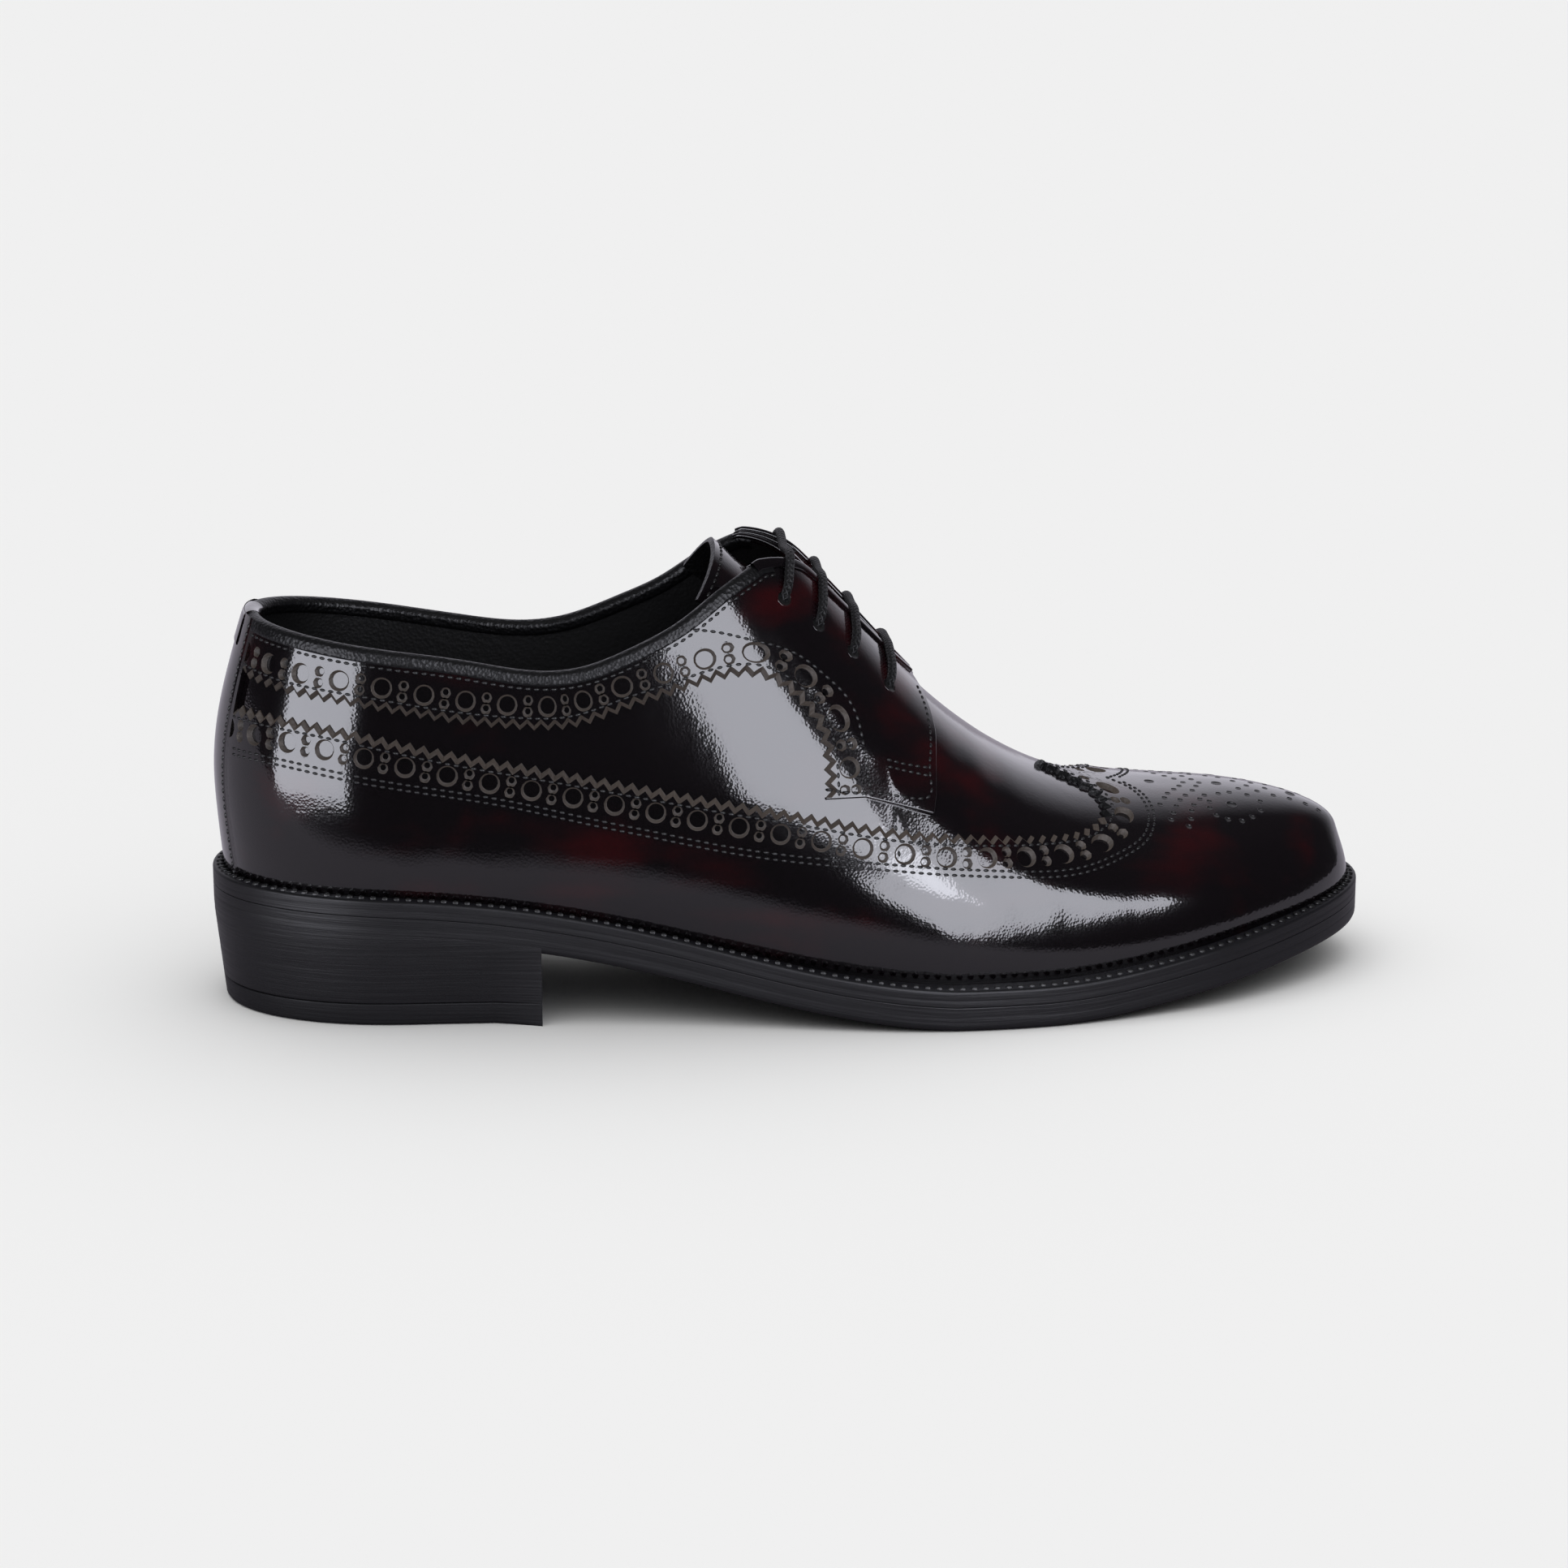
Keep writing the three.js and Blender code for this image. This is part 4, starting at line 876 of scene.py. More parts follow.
def finish(name):
    """One of the shoe's finishes, made once."""
    if name not in FINISHES:
        look = bpy.context.scene.shoe_finishes
        own_name = "shoe_" + name
        dull = {  # colour, roughness, specular, pores
            "cut_leather": (look.cut, 0.62, 0.5, 0.5),
            "lining_leather": ((0.010, 0.010, 0.011), 0.42, 0.5, 0.25),
            "binding_leather": ((0.0045, 0.0045, 0.0058), 0.36, 0.3, 0.5),
            "welt_leather": (look.edge, 0.42, 0.35, None),
            "heel_rubber": (look.edge, 0.5, 0.3, None),
            "thread": ((0.008, 0.008, 0.009), 0.4, 0.5, 0.1),
        }
        if name in dull:
            FINISHES[name] = plain_leather(own_name, *dull[name])
        elif name == "waxed_cord":
            FINISHES[name] = braided_cord(own_name, (0.007, 0.007, 0.009))
        else:
            FINISHES[name] = polished_leather(own_name, look.black, look.red, look.rubbed)
    return FINISHES[name]


# Stitches, cords and rolled edges
def stitches(seams, length, width, rise):
    """Raised stitches: half of a stretched ball at each place, whose long axis follows the seam. Each seam is
    (points, directions along, normals)."""
    around, rings = 6, 5
    turn = np.linspace(0, math.pi, around)[None]
    part = np.linspace(-1, 1, rings)[:, None]
    round_off = np.sqrt(np.maximum(1 - part**2, 0)) + 0.02
    shape = np.stack([
        np.broadcast_to(part * length / 2, (rings, around)),
        round_off * np.cos(turn) * width / 2,
        round_off * np.sin(turn) * rise - 0.05,
    ], -1).reshape(-1, 3)
    points, along, normal = (np.concatenate([seam[i] for seam in seams]) for i in range(3))
    along, normal = unit(along), unit(normal)
    axes = np.stack([along, unit(np.cross(normal, along)), normal], 1)
    placed = points[:, None] + np.einsum("ki,nij->nkj", shape, axes)
    away = unit(shape * np.array([0.3, 1, 1]) + np.array([0, 0, 0.05]))
    ways = np.einsum("ki,nij->nkj", away, axes)
    return patch(placed, repeated(grid_faces(rings, around), len(points), len(shape)), ways)


def seam_of(points, normals):
    """Places of a seam's stitches, with the directions along it and out of the leather."""
    return points, np.gradient(points, axis=0), normals


def seam_on_last(rows, side, spacing, height=OVERLAY):
    """Places for the stitches of a seam that follows a line on the last."""
    at, up, _ = smooth_line(rows, side, spacing=spacing, height=height)
    return seam_of(*skin(at, up, side, height))


def seam_beside(band, w, spacing):
    """Places for the stitches of a seam at a distance w into a band."""
    count = int(band.length / spacing)
    u = (np.arange(count) + 0.5) * band.length / count
    return seam_of(*band.skin(u, np.full(count, w)))


def even_seam(line, ways, spacing, start=0.8, end=0.8):
    """Places for stitches at equal distances along a line of points with directions outwards."""
    run = run_along(line)
    even = np.arange(start, run[-1] - end, spacing)
    return seam_of(resampled(line, run, even), resampled(ways, run, even))


def smooth_path(points, count):
    """Points at equal distances on a cubic spline through a route."""
    run = run_along(points)
    fine = np.linspace(0, run[-1], count * 4)
    dense = np.stack([natural_curve(run, column)(fine) for column in points.T], -1)
    length = run_along(dense)
    return resampled(dense, length, np.linspace(0, length[-1], count))


def spread(path, profile):
    """Pattern coordinates of a profile carried along a path: the lengths run along both."""
    return np.stack(np.broadcast_arrays(run_along(path)[:, None], run_along(profile)[None]), -1)


def tube(path, radius, around):
    """A round tube along a path: circles in the plane across it, turned on with the path without twist."""
    along = unit(np.gradient(path, axis=0))
    sideways = [unit(np.cross(along[0], UPWARD))]
    for way in along[1:]:
        sideways.append(unit(sideways[-1] - way * np.dot(sideways[-1], way)))
    sideways = np.array(sideways)
    turn = np.linspace(0, 2 * math.pi, around, endpoint=False)
    cos, sin = np.cos(turn)[None, :, None], np.sin(turn)[None, :, None]
    ways = sideways[:, None] * cos + np.cross(along, sideways)[:, None] * sin
    across = np.stack(np.broadcast_arrays(run_along(path)[:, None], turn[None] * radius), -1)
    return grid_patch(path[:, None] + ways * radius, ways, 0, across, wrap_columns=True)


def crosswise(ways):
    """Directions in a plane turned a quarter to the right."""
    return np.stack([ways[:, 1], -ways[:, 0]], -1)


def profile_ways(profile, centre):
    """Directions across a profile, pointing away from a place in it."""
    away = crosswise(np.gradient(profile, axis=0))
    return -away if np.sum(away * (profile - centre)) < 0 else away


def profile_along(points, out, up, profile):
    """A profile of (outward, upward) distances carried along a path with given outward and upward ways."""
    profile = np.asarray(profile, float)
    away = profile_ways(profile, profile.mean(0))
    placed = points[:, None] + out[:, None] * profile[None, :, :1] + up[:, None] * profile[None, :, 1:]
    ways = unit(out[:, None] * away[None, :, :1] + up[:, None] * away[None, :, 1:])
    return grid_patch(placed, ways, 0, spread(points, profile))


def collar_roll(grow, tail=3.3):
    """Profile of the leather rolled over the collar: outward and upward distances, larger for a tab."""
    turn = np.radians(np.linspace(-10, 190, 15))
    over = np.stack([-0.35 + (2.15 + grow) * np.cos(turn), -1.2 + (1.75 + grow) * np.sin(turn)], -1)
    outside = [(1.5, -tail), (1.7 + grow, -tail + 0.15), (1.85 + grow, -tail + 0.6), (1.85 + grow, -2.0)]
    inside = [(-2.5 - grow, -2.2), (-2.45 - grow, -tail + 0.3), (-2.1, -tail)]
    return [*outside, *over, *inside]


def pinholes(places, side, radius):
    """Punched dots: a thin raised rim, then a flat dark matte floor, painted shade that stands in for the
    hole's depth, with directions that lean in to the middle. Each is a polar grid laid on the leather at its
    place, with circles for rows of (radius, rise, lean in degrees)."""
    at, up = places.T
    centre, normal = skin(at, up, side, OVERLAY)
    forward = unit(skin(np.clip(at + 0.002, 0, 1), up, side, OVERLAY)[0] - centre)
    turn = np.linspace(0, 2 * math.pi, DOT_CORNERS, endpoint=False)[None, :, None]
    ring = forward[:, None] * np.cos(turn) + np.cross(normal, forward)[:, None] * np.sin(turn)
    normal = normal[:, None]
    found = []
    # The second set of rings is the dot's floor, in the dark slot: painted shade for the hole's depth
    for index, rows in enumerate((
        ((radius + 0.28, -0.05, 60), (radius + 0.14, 0.06, 0), (radius, 0.045, -50)),
        ((radius, 0.045, -55), (radius * 0.55, 0.045, -40), (0.001, 0.045, -10)),
    )):
        points = np.stack([centre[:, None] + ring * reach + normal * rise for reach, rise, _ in rows], 1)
        leans = [math.radians(row[2]) for row in rows]
        ways = np.stack([normal * math.cos(lean) + ring * math.sin(lean) for lean in leans], 1)
        single = grid_faces(len(rows), DOT_CORNERS, wrap_columns=True)
        faces = repeated(single, len(at), len(rows) * DOT_CORNERS)
        found.append(patch(points, faces, ways, index, facing=np.repeat(normal[:, 0], len(single), 0)))
    return found


# The upper and its overlays
def upper_patches():
    """The hollow upper: the last's surface, the same surface moved inwards, and the rims between them, once
    for the leather and once for its lining."""
    at = station(np.linspace(0, 1, UPPER_ROWS))
    share = np.linspace(0, 1, UPPER_COLUMNS) ** 1.1
    open_rows = int(np.searchsorted(at, THROAT_END)) + 1
    outside, inside = [], []
    for side in (OUTER, INNER):
        up = top_share(at, side)[:, None] * share[None]
        grid = np.broadcast_to(at[:, None], up.shape)
        for found, near, far, way in (
            (outside, 0.0, -UPPER_WALL / 2, 1), (inside, -UPPER_WALL, -UPPER_WALL / 2 - 0.05, -1),
        ):
            points, normals = skin(grid, up, side, near)
            wall, _ = skin(grid, up, side, far)
            found += [grid_patch(points, way * normals), grid_patch(wall, -way * normals)]
            found.append(sheet(points[:open_rows, -1], wall[:open_rows, -1], UPWARD))
            found.append(sheet(points[:, 0], wall[:, 0], DOWNWARD))
    return outside, inside


def rounded_rim(at, up, side, away):
    """The cut edge of an overlay along a line: a quarter round from its top down to the leather under it, on
    the side that the directions away point to."""
    points, normals = skin(at, up, side, OVERLAY)
    outward = unit(np.cross(unit(np.gradient(points, axis=0)), normals))
    if np.sum(outward * away) < 0:
        outward = -outward
    reach = 0.5
    turn = np.radians([0, 30, 60, 85, 85])
    fall, push = reach * (1 - np.cos(turn)), reach * np.sin(turn)
    fall[-1], push[-1] = OVERLAY + 0.1, reach * 1.1
    turn, fall, push = turn[None, :, None], fall[None, :, None], push[None, :, None]
    outward, normals = outward[:, None], normals[:, None]
    placed = points[:, None] + outward * push - normals * fall
    return grid_patch(placed, normals * np.cos(turn) + outward * np.sin(turn))


def wing_patches(side, holes):
    """One half of the long wing: its punched band, then a grid from the band's border to the welt and the
    toe. Its lines run straight down behind the ball, then fan out round the toe to the centre line."""
    fan_from, foot_part = 0.60, 0.86
    band = Band(WING_LINE, side, side, holes.pitch / MM, WING_SHADE_PAINTED_FROM)
    patches = band.patches(holes, 1)
    first = band.border()
    run = run_along(last_point(*first, side))
    rising = len(run) * 3 // 4
    turn_from = np.interp(fan_from, first[0][:rising], run[:rising])
    past = np.clip((run - turn_from) / (run[-1] - turn_from), 0, 1)
    start = count_at(np.interp(turn_from, run, first[0]))
    fan = start + (1 - start) * np.clip(past / foot_part, 0, 1)
    foot_at = station(np.where(past > 0, fan, count_at(first[0])))
    foot_up = np.clip((past - foot_part) / (1 - foot_part), 0, 1)
    at, up = between(first, (foot_at, foot_up), WING_ROWS)
    points, normals = skin(at, up, side, OVERLAY)
    patches.append(grid_patch(points, normals))
    patches.append(sheet(points[-1], skin(at[-1], up[-1], side)[0], DOWNWARD))
    return band, patches


def under_collar(at, side):
    """The facing's top: a little under the collar line, so that the binding covers its edge, and on the lace
    edge itself in front. The drop is a height divided by the section's own slope."""
    top = top_share(at, side)
    slope = (last_point(at, top, side)[:, 2] - last_point(at, top - 0.01, side)[:, 2]) / 0.01
    return top - FACING_DROP * np.clip((COLLAR_END + 0.01 - at) / 0.02, 0, 1) / np.maximum(slope, 40.0)


def facing_patches(side, holes):
    """One facing with its collar band: the punched band, then a grid from its border up to the collar, the
    lace edge and the front edge. Chosen shares of the two lines' lengths are paired, the rest follow."""
    band = Band(FACING_LINE, side, -side, holes.pitch / MM)
    patches = band.patches(holes)
    first = band.border()
    run = run_along(last_point(*first, side))
    run = run / run[-1]
    collar_at = np.linspace(0.004, THROAT_END, FACING_PLACES)
    far_at = np.concatenate([collar_at, FACING_FRONT[:, 0]])
    far_up = np.concatenate([under_collar(collar_at, side), FACING_FRONT[:, 1]])
    far_run = run_along(last_point(far_at, far_up, side))
    far_run = far_run / far_run[-1]
    collar_run = far_run[: len(collar_at)]
    dip, corner = np.interp([0.30, COLLAR_END], collar_at, collar_run)
    own = [0, np.interp(0.30, first[0][:200], run[:200]), np.interp(0.43, first[0][:240], run[:240]), 0.80, 1]
    aim = np.interp(run, np.maximum.accumulate(own), [0, dip, corner * 0.98, collar_run[-1], 1])
    goal = np.interp(aim, far_run, far_at), np.interp(aim, far_run, far_up)
    at, up = between(first, goal, FACING_ROWS)
    points, normals = skin(at, up, side, OVERLAY)
    patches.append(grid_patch(points, normals))
    patches.append(rounded_rim(at[-1], up[-1], side, points[-1] - points[-2]))
    end_at = np.concatenate([band.rows_at[:, -1], at[1:, -1]])
    end_up = np.concatenate([band.rows_up[:, -1], up[1:, -1]])
    patches.append(rounded_rim(end_at, end_up, side, DOWNWARD))
    return band, patches


def back_strip_patches():
    """The strip over the back seam, a slightly raised skin with round edges: its places are found from the
    wanted distance across, by turns with the last's own width. Returns the lines for its two seams too."""
    up = np.linspace(0.0, float(top_share(0.0, OUTER)), STRIP_ROWS)
    half = np.interp(up / up[-1], [0, 0.5, 1], [13.0, 12.6, 11.0])
    across = np.linspace(-1, 1, STRIP_COLUMNS)
    wide = half[:, None] * across[None]
    side = np.where(wide < 0, OUTER, INNER)
    ups = np.broadcast_to(up[:, None], wide.shape)
    at = np.full(wide.shape, 0.01)
    share, power = HEEL_ROUND
    for _ in range(6):
        full = np.abs(last_point(at, ups, side)[..., 1]) / np.maximum(rounded_end(at, HEEL_ROUND), 1e-6)
        need = np.clip(np.abs(wide) / np.maximum(full, 1e-3), 0, 0.999)
        at = np.maximum(share * (1 - (1 - need**power) ** (1 / power)), 1e-6)
    puff = 0.5
    lift = OVERLAY + puff * np.sqrt(np.clip(1 - np.abs(across) ** 24, 0, 1))[None]
    points, _ = skin(at, ups, side, lift)
    low, _ = skin(at, ups, side)
    heart = np.array([40.0, 0, 60.0])
    found = [turned_out(grid_patch(points), heart)]
    found += [turned_out(sheet(points[:, j], low[:, j]), heart) for j in (0, -1)]
    return found, [skin(at[:, j], ups[:, j], side[:, j], OVERLAY + puff) for j in (2, -3)]


def collar_path():
    """The collar's top line from the outer lace corner round the back to the inner one, with its outward and
    upward directions."""
    at = station(np.linspace(0, count_at(COLLAR_END + 0.012), COLLAR_PLACES))
    outer = skin(at[::-1], top_share(at[::-1], OUTER), OUTER)
    inner = skin(at[1:], top_share(at[1:], INNER), INNER)
    points, ways = (np.concatenate(pair) for pair in zip(outer, inner))
    up = unit(np.cross(unit(np.gradient(points, axis=0)), ways))
    return points, ways, np.where((up[:, 2] < 0)[:, None], -up, up)


def lace_edge_path(side):
    """The lace edge of one facing, from the collar's corner to the bottom of the throat, with its outward
    directions and those towards the throat."""
    at = np.linspace(COLLAR_END - 0.004, THROAT_END - 0.002, LACE_EDGE_PLACES)
    points, ways = skin(at, top_share(at, side), side)
    beyond = unit(np.cross(unit(np.gradient(points, axis=0)), ways))
    return points, ways, np.where((beyond[:, 1] * side > 0)[:, None], -beyond, beyond)


def tongue_patches():
    """The tongue: an arched strip under the throat. Its crest lies a depth under the centre line, its
    sections bend down to both sides, and its free top rises to a peak in the middle. Returns its points and
    directions too."""
    dip, half, arch, shift = curves(TONGUE)
    start, end = TONGUE[0, 0], TONGUE[-1, 0]
    part = np.linspace(-1, 1, TONGUE_COLUMNS)[None]
    top = start + 0.012 * np.abs(part) ** 1.3
    at = top + (end - top) * np.linspace(0, 1, TONGUE_ROWS)[:, None]
    slope = last_point(at + 1e-3, 1.0, OUTER) - last_point(at - 1e-3, 1.0, OUTER)
    inward = unit(np.stack([slope[..., 2], np.zeros_like(at), -slope[..., 0]], -1))
    below = UPPER_WALL + 0.3 + INSTEP_HEIGHT * np.maximum(dip(at), 0)
    turn = part * TONGUE_BEND
    sideways = INSTEP_HEIGHT * half(at) * np.sin(turn) / math.sin(TONGUE_BEND)
    fall = INSTEP_HEIGHT * arch(at) * (1 - np.cos(turn)) / (1 - math.cos(TONGUE_BEND))
    points = last_point(at, 1.0, OUTER) + inward * (below + fall)[..., None]
    points[..., 1] += sideways + INSTEP_HEIGHT * shift(at)
    front = turned_out(grid_patch(points), np.array([120.0, 0, 40.0]))
    ways = front[2].reshape(points.shape)
    back = points - ways * TONGUE_THICKNESS
    found = [front, grid_patch(back, -ways, CUT)]
    for edge in ((0,), (-1,), (slice(None), 0), (slice(None), -1)):
        found.append(turned_out(sheet(points[edge], back[edge], finish=CUT), points.mean((0, 1))))
    return found, points, ways


# The sole
def plan_ways(path):
    """Outward directions of a closed path in plan."""
    return crosswise(unit(np.roll(path, -1, 0) - np.roll(path, 1, 0)))


def plan_path(margin, count=SOLE_PLACES):
    """A closed path round the sole in plan, at a margin outside the upper's foot line: the foot's own points
    moved out across its direction. Runs along the outer side to the toe and back along the inner side."""
    share = (1 - np.cos(np.linspace(0, math.pi, count // 2 + 1))) / 2
    back = share[::-1]
    foot = np.concatenate([last_point(share, 0.0, OUTER)[:-1], last_point(back, 0.0, INNER)[:-1]])[:, :2]
    wide = np.broadcast_to(margin(np.concatenate([share[:-1], back[:-1]])), len(foot))
    moved = foot + plan_ways(foot) * wide[:, None]
    ring = np.vstack([moved, moved[:1]])
    run = run_along(ring)
    return resampled(ring, run, np.linspace(0, run[-1], count, endpoint=False))


def plate_patches(path, profile):
    """A plate whose edge profile of (outward, upward) distances runs round a closed path. Heights follow the
    ground line of each point's own x, and the flat faces are strips across from one side to the other."""
    profile = np.asarray(profile, float)
    ways = plan_ways(path)
    ring = path[:, None] + ways[:, None] * profile[None, :, :1]
    points = np.concatenate([ring, (lift_at_x(ring[..., 0]) + profile[None, :, 1])[..., None]], -1)
    away = profile_ways(profile, profile.mean(0) - np.array([3.0, 0]))
    level = np.concatenate([ways, np.zeros((len(ways), 1))], 1)
    normals = unit(level[:, None] * away[None, :, :1] + np.array(UPWARD) * away[None, :, 1:])
    found = [grid_patch(points, normals, 0, spread(path, profile), wrap_rows=True)]
    half = len(path) // 2
    for column, way in ((0, DOWNWARD), (-1, UPWARD)):
        loop = np.roll(points[:, column], -int(np.argmin(points[:, column, 0])), axis=0)
        inner = np.concatenate([loop[:1], loop[::-1][:half]])
        found.append(sheet(loop[: half + 1], inner, way, PLATE_STRIPS, [0, 1]))
    return found


def breast_y(path, side):
    """Where one side of the sole's path crosses the line of the heel's breast."""
    own = path[path[:, 1] * side > 0]
    own = own[np.argsort(own[:, 0])]
    return HEEL_LENGTH, np.interp(HEEL_LENGTH, own[:, 0], own[:, 1])


def heel_wall(path):
    """The heel's outline in plan and its outward directions: the sole's path behind the breast, in order of
    its angle, at equal distances from the breast's inner corner to its outer one."""
    inside = path[path[:, 0] < HEEL_LENGTH]
    angle = np.arctan2(inside[:, 1], inside[:, 0] - HEEL_CENTRE - 10) % (2 * math.pi)
    walk = np.concatenate([[breast_y(path, INNER)], inside[np.argsort(angle)], [breast_y(path, OUTER)]])
    run = run_along(walk)
    wall = resampled(walk, run, np.linspace(0, run[-1], HEEL_PLACES))
    ways = crosswise(unit(np.gradient(wall, axis=0)))
    return wall, -ways if np.sum(ways * (wall - np.array([HEEL_CENTRE, 0]))) < 0 else ways


def lift_patches(wall, ways, rows):
    """A layer of the heel: the outline at rows of (height, push outwards). The walls lean in towards the
    ground, less so near the straight breast, and heights end a lap above the outsole's underside."""
    lean = (HEEL_SEAT_WIDTH - HEEL_BASE_WIDTH) / 2
    seat = lift_at_x(wall[:, 0])
    levels = []
    for z, push in rows:
        heights = np.minimum(z, seat + HEEL_LAP)
        inset = lean * np.maximum(1 - heights / seat, 0) - push
        moved = wall - ways * inset[:, None] * np.minimum(1, (HEEL_LENGTH - wall[:, :1]) / 12)
        moved[0, 0] = moved[-1, 0] = HEEL_LENGTH
        levels.append(np.concatenate([moved, heights[:, None]], 1))
    grid = np.array(levels)
    nominal = np.array([row[0] for row in rows])
    across = np.stack(np.broadcast_arrays(run_along(wall)[None], nominal[:, None]), -1)
    half = len(wall) // 2
    return [
        turned_out(grid_patch(grid, None, 0, across), np.array([HEEL_CENTRE, 0, 10.0])),
        sheet(grid[:, 0], grid[:, -1], FORWARD, HEEL_STRIPS, [1, 2]),
        sheet(grid[0, :half], grid[0, ::-1][:half], DOWNWARD, HEEL_STRIPS, [0, 1]),
        sheet(grid[-1, :half], grid[-1, ::-1][:half], UPWARD, HEEL_STRIPS, [0, 1]),
    ]


# The stage
def softbox(name, place, turn, size, roll):
    """An upright rectangular area light, turned about the vertical from facing +Y. It shows in gloss alone,
    so that the floor keeps one even shade."""
    light = bpy.data.lights.new(name, "AREA")
    light.shape = "RECTANGLE"
    light.size, light.size_y = size
    light.energy = SOFTBOX_GLOW * math.pi * size[0] * size[1]
    light.color = SOFTBOX_TINT
    lamp = bpy.data.objects.new(name, light)
    bpy.context.scene.collection.objects.link(lamp)
    lamp.location = place
    upright = Matrix.Rotation(math.radians(-turn), 3, "Z") @ Matrix.Rotation(math.radians(90), 3, "X")
    lamp.rotation_euler = (upright @ Matrix.Rotation(math.radians(roll), 3, "Z")).to_euler()
    lamp.visible_diffuse = lamp.visible_camera = False


def floor_paper():
    """Plain pale paper. In gloss it shows a darker bluish grey, a painted shade in its reflection, and it
    ends a hand's width in front of the shoe, like the edge of a table.
    """
    material, tree, shader, place = new_material("floor_paper")
    fill(tree, shader, {"Base Color": PAPER, "Roughness": 1.0, "Specular IOR Level": 0.0})
    where = node(tree, "SeparateXYZ", {"Vector": place["Object"]}).outputs
    front = mapped(tree, where["Y"], (-0.150, -0.115), (1.0, 0.0))
    ray = node(tree, "LightPath").outputs
    either = maths(tree, "MAXIMUM", ray["Is Glossy Ray"], ray["Is Shadow Ray"])
    # Seen in gloss, the paper takes this darker colour: painted shade in the floor's reflection
    painted_reflection_shade = node(tree, "BsdfDiffuse", {"Color": (0.36, 0.34, 0.39, 1)})
    gloss = mixed(tree, ray["Is Glossy Ray"], shader, painted_reflection_shade)
    mix = mixed(tree, maths(tree, "MULTIPLY", front, either), gloss, node(tree, "BsdfTransparent"))
    output = next(n for n in tree.nodes if n.type == "OUTPUT_MATERIAL")
    fill(tree, output, {"Surface": mix.outputs[0]})
    return material


def studio_world():
    """White light that grows with the square of the sine of its height, 2 overhead, so that a bare floor gets
    one whole unit. The camera sees the floor's shade, and gloss a dark room that brightens towards +Y."""
    world = bpy.data.worlds.new("studio")
    world.use_nodes = True
    tree = world.node_tree
    tree.nodes.clear()
    way = node(tree, "SeparateXYZ", {"Vector": node(tree, "TexCoord").outputs["Generated"]}).outputs
    overhead = maths(tree, "POWER", mapped(tree, way["Z"], (0.0, 1.0), (0.0, 1.4142)), 2.0)
    behind = mapped(tree, way["Y"], (0.42, 1.0), (0.03, 0.8), "SMOOTHSTEP")
    light = node(tree, "Background", {"Color": (1.0, 1.0, 1.0, 1), "Strength": overhead})
    pale = node(tree, "Background", {"Color": PAPER, "Strength": 1.0})
    dark = node(tree, "Background", {"Color": (0.92, 0.90, 1.0, 1), "Strength": behind})
    ray = node(tree, "LightPath").outputs
    mix = mixed(tree, ray["Is Glossy Ray"], mixed(tree, ray["Is Camera Ray"], light, pale), dark)
    node(tree, "OutputWorld", {"Surface": mix.outputs[0]})
    return world


class ShoeHoles(bpy.types.PropertyGroup):
    """Sizes of the punched bands."""

    pitch: FloatProperty(
        name="Repeat", description="Distance between large holes", default=0.0109, min=0.006, unit="LENGTH")
    large: FloatProperty(
        name="Large hole", description="Diameter of a large hole", default=0.0054, min=0.002, unit="LENGTH")
    small: FloatProperty(
        name="Small hole", description="Diameter of a small hole", default=0.0028, min=0.001, unit="LENGTH")


class ShoeThread(bpy.types.PropertyGroup):
    """Sizes of stitches and laces."""

    step: FloatProperty(
        name="Stitch step", description="Distance between stitches of the upper",
        default=0.0022, min=0.001, unit="LENGTH")
    length: FloatProperty(
        name="Stitch length", description="Length of one stitch", default=0.0017, min=0.0005, unit="LENGTH")
    width: FloatProperty(
        name="Stitch width", description="Width of one stitch", default=0.00080, min=0.0002, unit="LENGTH")
    welt_step: FloatProperty(
        name="Welt stitch step", description="Distance between stitches of the welt",
        default=0.0030, min=0.001, unit="LENGTH")
    lace: FloatProperty(
        name="Lace", description="Diameter of the lace", default=0.0024, min=0.001, unit="LENGTH")


class ShoeFinishes(bpy.types.PropertyGroup):
    """Colours of the shoe."""

    black: FloatVectorProperty(
        name="Finish", description="Dark colour of the polished leather", subtype="COLOR",
        default=(0.0040, 0.0026, 0.0038), min=0, max=1)
    red: FloatVectorProperty(
        name="Rubbed red", description="Colour that shows where the finish is rubbed", subtype="COLOR",
        default=(0.034, 0.0016, 0.0030), min=0, max=1)
    rubbed: FloatProperty(
        name="Rubbed amount", description="How strongly the red shows", subtype="FACTOR",
        default=0.8, min=0, max=1)
    cut: FloatVectorProperty(
        name="Cut edges", description="Colour of cut leather", subtype="COLOR",
        default=(0.062, 0.044, 0.033), min=0, max=1)
    edge: FloatVectorProperty(
        name="Sole edge", description="Colour of the sole's edge dressing", subtype="COLOR",
        default=(0.0056, 0.0052, 0.0078), min=0, max=1)


class ShoeStage(bpy.types.PropertyGroup):
    """Floor, lights and camera."""

    floor: FloatProperty(
        name="Floor", description="Half width of the floor", default=7.0, min=1.0, unit="LENGTH")
    distance: FloatProperty(
        name="Camera distance", description="Distance from the camera to the shoe",
        default=1.1, min=0.5, unit="LENGTH")
    lens: FloatProperty(
        name="Lens", description="Focal length on a 36 mm sensor", default=95.5, min=20.0, unit="CAMERA")


class SHOE_OT_upper(bpy.types.Operator):
    """Build the hollow upper and its lining"""

    bl_idname = "shoe.upper"
    bl_label = "Upper"

    def execute(self, context):
        outside, inside = upper_patches()
        make_piece("quarters_and_vamp", outside, ["polished_leather"], ["upper"])
        make_piece("lining", inside, ["lining_leather"])
        return {"FINISHED"}


